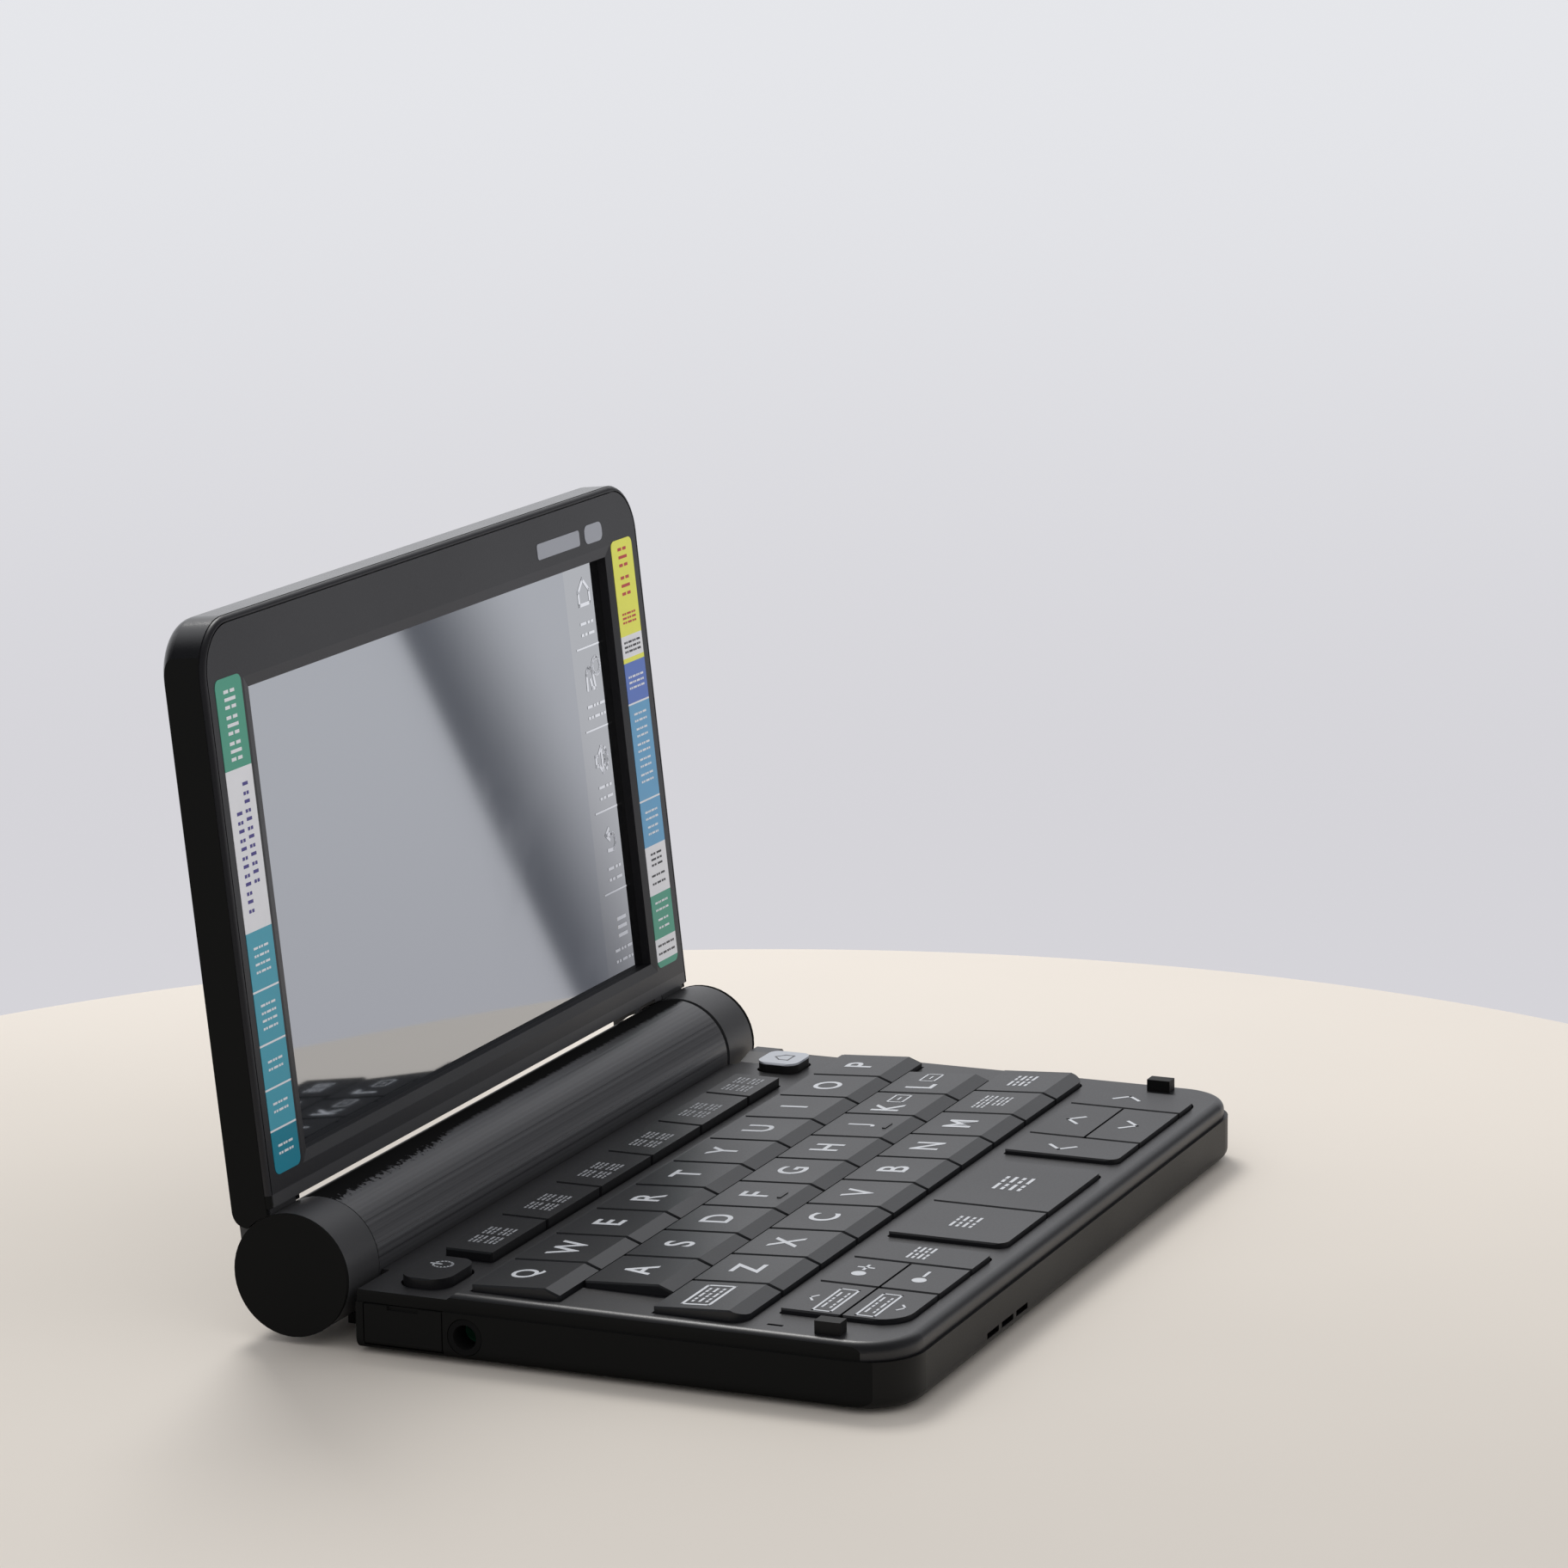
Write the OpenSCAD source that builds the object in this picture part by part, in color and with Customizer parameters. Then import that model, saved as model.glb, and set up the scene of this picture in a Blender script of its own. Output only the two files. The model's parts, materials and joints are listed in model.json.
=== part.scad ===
// Pocket electronic dictionary: a clamshell with a touch screen in the lid, a small
// typewriter keyboard in the base, and a round battery barrel along the hinge.
// Origin: on the resting plane, midway between the sides, and midway between the front edge
// and the rearmost point of the open lid. X runs to the user's right, Y to the back, Z up.

/* [Overall] */
// Width over the case sides
body_w = 148; // [142:1:160]
// Depth from the front edge to the back of the barrel
body_d = 105.5; // [104:0.5:116]
// Angle of the open lid, measured from closed
lid_open = 96; // [90:1:125]

/* [Base case] */
// Height of the rubber feet below the case
foot_h = 0.5; // [0.3:0.1:1.2]
// Height of the seam between lower and upper case
seam_z = 7.7; // [7.5:0.1:8.2]
// Height of the keyboard deck
deck_z = 10.3; // [10:0.1:10.6]
// Drop of the function key strip below the deck
strip_drop = 0.9; // [0.5:0.1:1]
// Plan radius of the front corners
case_corner_r = 8.5; // [5:0.5:12]
// Side wall thickness of both cases
case_wall = 1.6; // [1.3:0.1:2]
// Floor thickness of the lower case
floor_t = 1.4; // [1:0.1:1.8]
// Deck thickness of the upper case
deck_t = 1.4; // [1.1:0.1:1.5]
// Step between the lower case and the slightly smaller upper case
case_step = 0.5; // [0.2:0.1:0.8]
// Edge radius around the underside
bottom_edge_r = 2; // [1:0.25:2.5]
// Edge radius around the deck
deck_edge_r = 1.5; // [0.6:0.1:1.8]

/* [Barrel and hinge] */
// Radius of the battery barrel and of the lid's knuckles
barrel_r = 9.25; // [9:0.05:9.6]
// Height of the hinge axis
hinge_z = 10.4; // [10.4:0.1:10.7]
// Width of each of the lid's knuckles
knuckle_w = 10.2; // [9:0.1:10.5]
// Seam beside the left knuckle
seam_left = 0.2; // [0.15:0.05:0.5]
// Groove beside the right knuckle
seam_right = 1; // [0.4:0.1:1.4]
// Radius of the steel hinge pins
pin_r = 2; // [1.5:0.1:2.4]
// Running clearance of the pins in the knuckles
pin_clear = 0.05; // [0.03:0.01:0.08]
// Barrel wall between a hinge pin and the battery bore
pin_wall = 1.4; // [1:0.1:3]
// Gap between the barrel and the cases around it
barrel_gap = 0.2; // [0.15:0.05:0.4]

/* [Batteries] */
// Diameter of an AA cell
cell_d = 14.5; // [14:0.1:14.6]
// Length of an AA cell with its button
cell_len = 50.5; // [49.5:0.1:51]
// Clearance around the cells
cell_clear = 0.25; // [0.15:0.05:0.4]
// Space for a contact at each end of the row of cells
contact_space = 2.2; // [1.8:0.1:2.6]
// Lower edge of the battery door, in degrees below straight back
door_low_angle = 64; // [50:1:68]
// Upper edge of the battery door, in degrees above straight back
door_high_angle = 16; // [8:1:18]
// Length of the battery door
door_len = 100; // [90:1:104]
// Gap around the battery door
door_gap = 0.2; // [0.15:0.05:0.4]

/* [Lid] */
// Thickness of the closed lid
lid_t = 7.5; // [7:0.1:8.5]
// Drop of the lid's inner face behind the hinge axis
lid_offset = 1.9; // [1.9:0.05:2.4]
// Gap between the barrel and the lid's bottom edge
lid_slot = 0.75; // [0.6:0.05:1.2]
// Plan radius of the lid's top corners
lid_corner_r = 8.5; // [6:0.5:12]
// Thickness of the front frame's visible rim
frame_rim = 0.8; // [0.8:0.1:1.1]
// Wall of the back cover
lid_wall = 1.3; // [1:0.1:1.6]
// Edge radius around the back of the lid
lid_edge_r = 2.2; // [1.5:0.1:2.8]
// Radius of the back cover's bottom edge
lid_foot_r = 3.5; // [2.5:0.25:4]
// Frame beside the screen opening
screen_side = 12.9; // [12.5:0.1:16]
// Frame above the screen opening
screen_top = 11.25; // [10.75:0.25:16]
// Bottom edge of the screen opening, from the hinge axis
screen_s0 = 15.8; // [15.6:0.1:18]
// Depth of the screen below the frame
screen_depth = 1.8; // [1.4:0.1:1.8]
// Width of the slope around the screen
screen_slope = 1.75; // [1:0.05:1.8]
// Drop of that slope
screen_slope_drop = 0.3; // [0.2:0.05:0.6]
// Thickness of the touch glass
glass_t = 1; // [0.7:0.1:1.2]
// Thickness of the display module
display_t = 3.1; // [2.5:0.1:3.2]

/* [Keyboard] */
// Case left of the letter keys
keys_left = 3.1; // [2.8:0.1:4]
// Case right of the letter keys
keys_right = 4.4; // [3.8:0.1:5.2]
// Deck between the front keys and the letter keys
keys_front_gap = 2.5; // [2.2:0.1:3]
// Deck between the letter keys and the back of the case
letters_inset = 17.25; // [17:0.05:17.6]
// Gap between neighbouring keys
key_gap = 0.4; // [0.3:0.05:0.5]
// Gap between a key and the deck
window_gap = 0.25; // [0.2:0.05:0.35]
// Key travel
key_travel = 0.8; // [0.5:0.1:0.9]
// Height of a letter key's back edge over the deck
letter_rise_back = 0.95; // [0.7:0.05:1.1]
// Height of a letter key's crest over the deck
letter_rise_crest = 1.65; // [1.3:0.05:1.7]
// Height of a letter key's front edge over the deck
letter_rise_front = 0.8; // [0.4:0.05:1]
// Depth of the sloping front of a letter key
letter_slope = 2.3; // [1.5:0.1:3]
// Height of the front keys over the deck
front_rise = 0.75; // [0.5:0.05:1.2]
// Height of the function keys over their strip
function_rise = 1.45; // [1:0.05:1.7]
// Front edge of the front keys, from the case's front
front_keys_y = 4.2; // [3.8:0.1:4.6]
// Depth of the front keys
front_keys_d = 18.5; // [18:0.1:18.8]
// Depth of the function keys
function_d = 7.7; // [7:0.1:8]
// Small bevel on every key edge
key_bevel = 0.25; // [0.1:0.05:0.3]

/* [Inside] */
// Height of the circuit board's underside
board_z = 4.6; // [4.5:0.1:4.8]
// Thickness of the circuit board
board_t = 0.8; // [0.6:0.1:1]
// Thickness of the rubber key mat
mat_t = 0.6; // [0.4:0.1:0.7]
// Height of the mat's domes
dome_h = 0.8; // [0.6:0.1:0.9]
// Radius of a screw boss
boss_r = 1.9; // [1.6:0.1:1.9]
// Radius of a case screw's thread
screw_r = 0.9; // [0.7:0.05:1]
// Radius of a case screw's head
screw_head_r = 1.75; // [1.5:0.05:1.9]

/* [Sockets] */
// Bore radius of the 3.5 mm earphone socket
jack_r = 1.85; // [1.8:0.01:1.9]
// Outer radius of the earphone socket's collar
jack_collar_r = 2.7; // [2.5:0.1:2.9]
// Depth of the earphone socket
jack_len = 12; // [10:0.5:14]
// Middle of the earphone socket, from the back of the case
jack_inset = 17.55; // [17.3:0.05:25]
// Front edge of the port cover, from the back of the case
port_inset = 14.05; // [13.4:0.05:14.1]
// Length of the port cover
port_len = 12.9; // [11:0.1:13.4]
// Thickness of the port cover
port_t = 1.3; // [1:0.1:1.5]

/* [Hidden] */
$fn = 64;
eps = 0.01;
half_w = body_w / 2;
hinge_from_front = body_d - barrel_r;
lid_s0 = barrel_r + lid_slot;
lid_s1 = hinge_from_front + 0.1;
lid_front = -lid_offset;
lid_back = -lid_offset - lid_t;
lid_lean = lid_open - 90;
lid_reach = (lid_s1 - lid_edge_r) * sin(lid_lean) - (lid_back + lid_edge_r) * cos(lid_lean)
    + lid_edge_r;
front_y = -(hinge_from_front + lid_reach) / 2;
hinge_y = front_y + hinge_from_front;
case_back_gap = 1.35;
case_back_y = hinge_y - barrel_r - case_back_gap;
row_back = case_back_y - letters_inset;
jack_y = case_back_y - jack_inset;
port_y0 = case_back_y - port_inset;
case_z = foot_h;
strip_z = deck_z - strip_drop;
upper_half_w = half_w - case_step;
inner_half_w = half_w - case_wall;
inner_front_y = front_y + case_wall;
inner_back_y = case_back_y - case_wall;
floor_z = case_z + floor_t;
board_top = board_z + board_t;
mat_top = board_top + mat_t;
left_in = -half_w + knuckle_w;
right_in = half_w - knuckle_w;
knuckle_ends = [[-half_w, left_in], [right_in, half_w]];
cradle_half_w = right_in - 0.7;
barrel_x0 = left_in + seam_left;
barrel_x1 = right_in - seam_right;
screen_x0 = -half_w + screen_side;
screen_x1 = half_w - screen_side;
screen_s1 = lid_s1 - screen_top;

// ---- keys: [name, left, right, front, back, kind, plan radii front-left, front-right] ----
letters_top = ["q", "w", "e", "r", "t", "y", "u", "i", "o", "p"];
letters_mid = ["a", "s", "d", "f", "g", "h", "j", "k", "l"];
letters_low = ["shift", "z", "x", "c", "v", "b", "n", "m", "space", "delete"];
mid_row_shift = 0.6;
row_end_r = 2.8;
columns = 10;
key_pitch = (body_w - keys_left - keys_right) / columns;
keys_x = (keys_left - keys_right) / 2;
front_keys_back = front_keys_y + front_keys_d;
row_pitch = (row_back - front_y - front_keys_back - keys_front_gap) / 3;
function letter_row(names, row, shift) = [
    for (i = [0:len(names) - 1])
        let (x0 = (i - len(names) / 2) * key_pitch + keys_x + shift,
             back = row_back - row * row_pitch)
        [str("key_", names[i]), x0 + key_gap / 2, x0 + key_pitch - key_gap / 2,
         back - row_pitch + key_gap, back, "letter",
         row == 2 && i == 0 ? row_end_r : 0, row == 2 && i == len(names) - 1 ? row_end_r : 0]
];

front_y0 = front_y + front_keys_y;
front_y1 = front_y + front_keys_back;
front_mid = (front_y0 + front_y1) / 2;
cluster_r = 5;
group_r = 2;
paging_x = [for (inset = [9.75, 24.05, 36.85, 46.05]) inset - half_w];
cursor_x = [for (inset = [49.15, 38.35, 19.45, 8.85]) half_w - inset];
group_gap = 4.4;
cursor_gap = 6;
back_key_w = 17.9;
entry_left = paging_x[3] + group_gap;
entry_x = [entry_left, entry_left + back_key_w, cursor_x[0] - cursor_gap];
function front_key(name, x0, x1, y0, y1, left_end, right_end, rl = 0, rr = 0) = [
    name, x0 + (left_end ? 0 : key_gap / 2), x1 - (right_end ? 0 : key_gap / 2),
    y0 == front_mid ? y0 + key_gap / 2 : y0, y1 == front_mid ? y1 - key_gap / 2 : y1,
    "front", rl, rr
];
front_keys = [
    front_key("key_page_up", paging_x[0], paging_x[1], front_mid, front_y1, true, false),
    front_key("key_page_down", paging_x[0], paging_x[1], front_y0, front_mid, true, false, cluster_r),
    front_key("key_size_up", paging_x[1], paging_x[2], front_mid, front_y1, false, false),
    front_key("key_size_down", paging_x[1], paging_x[2], front_y0, front_mid, false, false),
    front_key("key_jump", paging_x[2], paging_x[3], front_y0, front_y1, false, true, 0, group_r),
    front_key("key_back", entry_x[0], entry_x[1], front_y0, front_y1, true, false, group_r),
    front_key("key_enter", entry_x[1], entry_x[2], front_y0, front_y1, false, true, 0, group_r),
    front_key("key_left", cursor_x[0], cursor_x[1], front_y0, front_y1, true, false, group_r),
    front_key("key_up", cursor_x[1], cursor_x[2], front_mid, front_y1, false, false),
    front_key("key_down", cursor_x[1], cursor_x[2], front_y0, front_mid, false, false),
    front_key("key_right", cursor_x[2], cursor_x[3], front_y0, front_y1, false, true, 0, cluster_r)
];

function_y1 = case_back_y - 4.7;
function_y0 = function_y1 - function_d;
function_count = 6;
last_function_w = 12.7;
function_x0 = -half_w + 19.75;
function_x1 = half_w - 21.05;
function_pitch = (function_x1 - last_function_w - function_x0) / (function_count - 1);
function_w = function_pitch - key_gap;
function function_left(i) = function_x0 + i * function_pitch;
function function_width(i) = i < function_count - 1 ? function_w : last_function_w;
power_x = -half_w + 4.35;
power_w = 11.8;
power_r = 3.4;
home_x = half_w - 13.65;
home_w = 8.2;
home_r = 2.2;
power_key = ["key_power", power_x, power_x + power_w, function_y0 + 0.2, function_y1 + 0.4,
             "pill", power_r, power_r];
home_key = ["key_home", home_x, home_x + home_w, function_y0 + 0.6, function_y1,
            "home", home_r, home_r];

KEYS = concat(
    [power_key, home_key],
    letter_row(letters_top, 0, 0),
    letter_row(letters_mid, 1, mid_row_shift),
    letter_row(letters_low, 2, 0),
    front_keys
);

// Screw places, kept clear of the keys
screw_side = 4.7;
screw_front_y = front_y + 6.2;
screw_mid_y = front_mid;
screw_back_y = case_back_y - 2.7;
screw_spots = [
    [-half_w + screw_side, screw_front_y], [half_w - screw_side, screw_front_y],
    [(paging_x[3] + entry_x[0]) / 2, screw_mid_y], [(entry_x[2] + cursor_x[0]) / 2, screw_mid_y],
    [(power_x + power_w + function_x0) / 2, screw_back_y], [(function_x1 + home_x) / 2, screw_back_y]
];
screw_head_t = 1.1;
screw_sink = 0.2;
screw_tip_z = deck_z - deck_t - 1.2;
screw_clear = 0.15;

// ---- shared shapes ----

// Rectangle with its own radius at each corner: front-left, front-right, back-right, back-left
module soft_rect(x0, x1, y0, y1, radii) {
    corners = [[x0, y0, 0], [x1, y0, 90], [x1, y1, 180], [x0, y1, 270]];
    difference() {
        translate([x0, y0])
            square([x1 - x0, y1 - y0]);
        for (i = [0:3])
            if (radii[i] > 0)
                translate([corners[i][0], corners[i][1]])
                    rotate(corners[i][2])
                        difference() {
                            translate([-1, -1])
                                square(radii[i] + 1);
                            translate([radii[i], radii[i]])
                                circle(radii[i]);
                        }
    }
}

// Slab with rounded plan corners; children() is the edge section, from the corner centre outward
module edged_slab(x0, x1, y0, y1, r, z0, z1) {
    starts = [[x1 - r, y1 - r], [x0 + r, y1 - r], [x0 + r, y0 + r], [x1 - r, y0 + r]];
    runs = [y1 - y0 - 2 * r, x1 - x0 - 2 * r, y1 - y0 - 2 * r, x1 - x0 - 2 * r];
    for (i = [0:3])
        translate([starts[i][0], starts[i][1], 0])
            rotate([0, 0, 90 * i]) {
                rotate_extrude(angle = 90)
                    children();
                rotate([90, 0, 0])
                    linear_extrude(runs[i])
                        children();
            }
    translate([x0 + r, y0 + r, z0])
        cube([x1 - x0 - 2 * r, y1 - y0 - 2 * r, z1 - z0]);
}

// Edge section rounded at the bottom
module section_round_low(r, z0, z1, edge) {
    translate([0, z0 + edge])
        square([r, z1 - z0 - edge]);
    translate([0, z0])
        square([r - edge, z1 - z0]);
    translate([r - edge, z0 + edge])
        intersection() {
            circle(edge);
            translate([0, -edge])
                square(edge);
        }
}

// Edge section rounded at the top
module section_round_high(r, z0, z1, edge) {
    mirror([0, 1])
        section_round_low(r, -z1, -z0, edge);
}

// Cylinder along X between two places, around the hinge axis
module hinge_rod(x0, x1, r) {
    translate([x0, hinge_y, hinge_z])
        rotate([0, 90, 0])
            cylinder(h = x1 - x0, r = r);
}

// Children drawn in the lid's own frame: X across, Y up the lid, Z out of its inner face
module on_lid() {
    translate([0, hinge_y, hinge_z])
        rotate([180 - lid_open, 0, 0])
            children();
}

// Everything behind a given Y, for cutting a case short
module behind(y, z0, z1) {
    translate([-body_w, y, z0])
        cube([2 * body_w, 4 * case_corner_r, z1 - z0]);
}

// ---- base case ----

strip_edge_y = row_back + 1.7;
strip_slope = 1.15;
mound_x0 = upper_half_w - 8.5;
mound_y0 = case_back_y - 4.4;
cradle_y = hinge_y - 3.5;

module screw_holes(r, z0, z1) {
    for (p = screw_spots)
        translate([p[0], p[1], z0])
            cylinder(h = z1 - z0, r = r);
}

slit_x0 = -half_w + 32.4;
slit_count = 3;
slit_len = 4.7;
slit_rib = 1.2;
slit_x1 = slit_x0 + slit_count * slit_len + (slit_count - 1) * slit_rib;
slit_z = 2.7;
slit_h = 0.9;
jack_z = 4.25;
port_z0 = 1.3;
port_top_gap = 0.15;
port_gap = 0.2;

module lower_case() {
    boss_top = board_z;
    color("#17171a")
    difference() {
        union() {
            difference() {
                edged_slab(-half_w, half_w, front_y, case_back_y + 2 * case_corner_r,
                           case_corner_r, case_z, seam_z)
                    section_round_low(case_corner_r, case_z, seam_z, bottom_edge_r);
                behind(case_back_y, -1, seam_z + 1);
                translate([0, 0, floor_z])
                    linear_extrude(seam_z)
                        soft_rect(-inner_half_w, inner_half_w, inner_front_y, inner_back_y,
                                  [case_corner_r - case_wall, case_corner_r - case_wall, 1, 1]);
            }
            // cradle under the front of the barrel
            translate([-cradle_half_w, case_back_y - 1, case_z])
                cube([2 * cradle_half_w, cradle_y - case_back_y + 1, seam_z - case_z]);
            for (p = screw_spots)
                translate([p[0], p[1], floor_z - 0.5])
                    cylinder(h = boss_top - floor_z + 0.5, r = boss_r + 0.4);
        }
        hinge_rod(-half_w, half_w, barrel_r + barrel_gap);
        screw_holes(screw_r + screw_clear, -1, seam_z);
        screw_holes(screw_head_r + screw_clear, -1, case_z + screw_sink + screw_head_t);
        // room for the upper case's bosses
        screw_holes(boss_r + 0.2, board_top - 0.3, seam_z + 1);
        // earphone socket, port opening, speaker slits
        translate([-half_w - 1, jack_y, jack_z])
            rotate([0, 90, 0])
                cylinder(h = case_wall + 2, r = jack_collar_r + 0.1);
        translate([-half_w - 1, port_y0, port_z0])
            cube([port_t + 1 + port_gap, port_len, seam_z]);
        translate([-half_w - 1, port_y0 + 1.4, port_z0 + 1.2])
            cube([case_wall + 2, port_len - 2.8, seam_z - port_z0 - 2]);
        for (i = [0 : slit_count - 1])
            translate([slit_x0 + i * (slit_len + slit_rib), front_y - 1, slit_z - slit_h / 2])
                cube([slit_len, case_wall + 2, slit_h]);
        for (x = [-1, 1])
            translate([x * front_foot_x, front_foot_y, case_z - 1])
                cylinder(h = 1 + foot_sink, r = foot_r + 0.1);
    }
}

// 2-D windows for the keys, grown by the window gap
module key_windows() {
    gap = window_gap;
    for (k = concat(letter_row(letters_top, 0, 0), letter_row(letters_low, 2, 0)))
        soft_rect(k[1] - gap, k[2] + gap, k[3] - gap, k[4] + gap,
                  [k[6], k[7], 0, 0]);
    for (k = letter_row(letters_mid, 1, mid_row_shift))
        soft_rect(k[1] - gap, k[2] + gap, k[3] - gap, k[4] + gap,
                  [0, 0, 0, 0]);
    for (g = [[paging_x[0], paging_x[3], cluster_r, group_r],
              [entry_x[0], entry_x[2], group_r, group_r],
              [cursor_x[0], cursor_x[3], group_r, cluster_r]])
        soft_rect(g[0] - gap, g[1] + gap, front_y0 - gap, front_y1 + gap,
                  [g[2], g[3], 0.5, 0.5]);
    soft_rect(function_x0 - gap, function_x1 + gap, function_y0 - gap, function_y1 + gap,
              [0.5, 0.5, 0.5, 0.5]);
    for (k = [power_key, home_key])
        soft_rect(k[1] - gap, k[2] + gap, k[3] - gap, k[4] + gap,
                  [k[6], k[7], k[7], k[6]]);
}

// Side view of the air over the function strip, running the whole width
module strip_air() {
    rotate([90, 0, 90])
        linear_extrude(4 * body_w, center = true)
            polygon([
                [strip_edge_y, deck_z], [strip_edge_y + strip_slope, strip_z],
                [hinge_y, strip_z], [hinge_y, deck_z + 3], [strip_edge_y - 3, deck_z + 3],
                [strip_edge_y - 3, deck_z + 1], [strip_edge_y, deck_z + 1]
            ]);
}

// Low mound at the right-hand back corner, its left side sloping down to the strip
module mound() {
    translate([0, mound_y0 + 8, 0])
        rotate([90, 0, 0])
            linear_extrude(8)
                polygon([[mound_x0, seam_z], [half_w, seam_z], [half_w, deck_z + 4],
                         [mound_x0 + 4, deck_z + 4], [mound_x0 + 4, deck_z],
                         [mound_x0, strip_z]]);
}

stopper_x = half_w - 4.1;
stopper_y = front_y + 12.6;
stopper_w = 2.5;
stopper_d = 3.9;
stopper_sink = 0.8;
mic_x = -half_w + 4.4;
mic_y = front_y + 21.2;

module upper_case() {
    color("#46464b")
    difference() {
        union() {
            difference() {
                union() {
                    edged_slab(-upper_half_w, upper_half_w, front_y + case_step,
                               case_back_y + 2 * case_corner_r, case_corner_r, seam_z, deck_z)
                        section_round_high(case_corner_r, seam_z, deck_z, deck_edge_r);
                    translate([-cradle_half_w, case_back_y - 1, seam_z])
                        cube([2 * cradle_half_w, hinge_y - case_back_y, strip_z - seam_z]);
                }
                for (s = [-1, 1])
                    translate([s > 0 ? cradle_half_w : -body_w, case_back_y, seam_z - 1])
                        cube([body_w - cradle_half_w, 4 * case_corner_r, deck_z]);
                translate([-cradle_half_w - 1, hinge_y - 1, seam_z - 1])
                    cube([2 * cradle_half_w + 2, 4 * case_corner_r, deck_z]);
                difference() {
                    strip_air();
                    mound();
                }
                // hollow under the deck, deeper under the letters than under the strip
                translate([0, 0, seam_z - 1])
                    linear_extrude(strip_z - deck_t - seam_z + 1)
                        soft_rect(-inner_half_w, inner_half_w, inner_front_y + case_step,
                                  inner_back_y, [6, 6, 1, 1]);
                translate([0, 0, seam_z - 1])
                    linear_extrude(deck_z - deck_t - seam_z + 1)
                        soft_rect(-inner_half_w, inner_half_w, inner_front_y + case_step,
                                  strip_edge_y - deck_t, [6, 6, 1, 1]);
            }
            for (p = screw_spots)
                translate([p[0], p[1], board_top])
                    cylinder(h = strip_z - deck_t / 2 - board_top, r = boss_r);
        }
        hinge_rod(-half_w, half_w, barrel_r + barrel_gap);
        screw_holes(screw_r + 0.05, board_top - 1, screw_tip_z + 0.3);
        translate([0, 0, strip_z - deck_t - 2])
            linear_extrude(deck_z)
                key_windows();
        for (s = [-1, 1])
            translate([s * stopper_x - stopper_w / 2, stopper_y - stopper_d / 2,
                       deck_z - stopper_sink])
                cube([stopper_w, stopper_d, 3]);
        // microphone slot
        translate([mic_x - 0.35, mic_y - 1.2, seam_z])
            cube([0.7, 2.4, 4]);
    }
}

// ---- barrel, cells and hinge ----

cell_r = cell_d / 2;
bore_r = cell_r + cell_clear;
cells_mid = (barrel_x0 + barrel_x1) / 2;
cells_x0 = cells_mid - cell_len;
cells_x1 = cells_mid + cell_len;
bore_x0 = cells_x0 - contact_space;
bore_x1 = cells_x1 + contact_space;
door_x0 = (bore_x0 + bore_x1 - door_len) / 2;
door_seat_r = bore_r + 0.1;

// Wedge around the back of the barrel, for the battery door
module door_wedge(x0, x1, low, high, inner, outer) {
    reach = 2 * outer;
    translate([x0, hinge_y, hinge_z])
        rotate([90, 0, 90])
            linear_extrude(x1 - x0)
                intersection() {
                    difference() {
                        circle(outer);
                        circle(inner);
                    }
                    polygon([[0, 0], [reach * cos(high), reach * sin(high)],
                             [reach * cos(low), -reach * sin(low)]]);
                }
}

module battery_barrel() {
    extra = asin(door_gap / barrel_r);
    color("#3b3b42")
    difference() {
        hinge_rod(barrel_x0, barrel_x1, barrel_r);
        hinge_rod(bore_x0, bore_x1, bore_r);
        door_wedge(door_x0 - door_gap, door_x0 + door_len + door_gap,
                   door_low_angle + extra, door_high_angle + extra, bore_r - 1, barrel_r + 1);
        hinge_rod(barrel_x0 - 1, bore_x0 - pin_wall, pin_r);
        hinge_rod(bore_x1 + pin_wall, barrel_x1 + 1, pin_r);
    }
}

grip_pitch = 1.6;
grip_count = 5;
grip_len = 6;
grip_r = 0.4;
grip_inset = 6;

module battery_cover() {
    color("#3b3b42")
    difference() {
        door_wedge(door_x0, door_x0 + door_len, door_low_angle, door_high_angle, door_seat_r, barrel_r);
        // thumb grooves near one end
        translate([door_x0 + grip_inset, hinge_y, hinge_z])
            rotate([(door_high_angle - door_low_angle) / 2, 0, 0])
                for (i = [0:grip_count - 1])
                    translate([i * grip_pitch, barrel_r, -grip_len / 2])
                        cylinder(h = grip_len, r = grip_r, $fn = 24);
    }
}

button_r = 2.75;
button_h = 1.2;

module battery_cells() {
    color("#c9c9c4")
    for (x = [cells_x0, cells_x0 + cell_len]) {
        hinge_rod(x, x + cell_len - button_h, cell_r);
        hinge_rod(x + cell_len - button_h, x + cell_len, button_r);
    }
}

contact_t = 0.4;
leaf_rise = contact_space - contact_t;

module battery_contacts() {
    color("#b9bcc0") {
        // pressed plate at the button end
        hinge_rod(cells_x1, cells_x1 + 1, button_r);
        hinge_rod(cells_x1 + 1, bore_x1, cell_r - 2);
        // leaf spring at the other end, in side view
        translate([0, hinge_y + 2.5, hinge_z])
            rotate([90, 0, 0])
                linear_extrude(5)
                    polygon([
                        [bore_x0, -5], [bore_x0 + contact_t, -5], [bore_x0 + contact_t, 2.6],
                        [bore_x0 + leaf_rise, 0], [cells_x0, 0.6], [cells_x0, 1.2],
                        [bore_x0 + leaf_rise, 1], [bore_x0 + contact_t, 5], [bore_x0, 5]
                    ]);
    }
}

pin_in_knuckle = knuckle_w - 2;

module hinge_pins() {
    color("#8d9094") {
        hinge_rod(left_in - pin_in_knuckle, bore_x0 - pin_wall, pin_r);
        hinge_rod(bore_x1 + pin_wall, right_in + pin_in_knuckle, pin_r);
    }
}

// ---- inside the base ----

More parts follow.
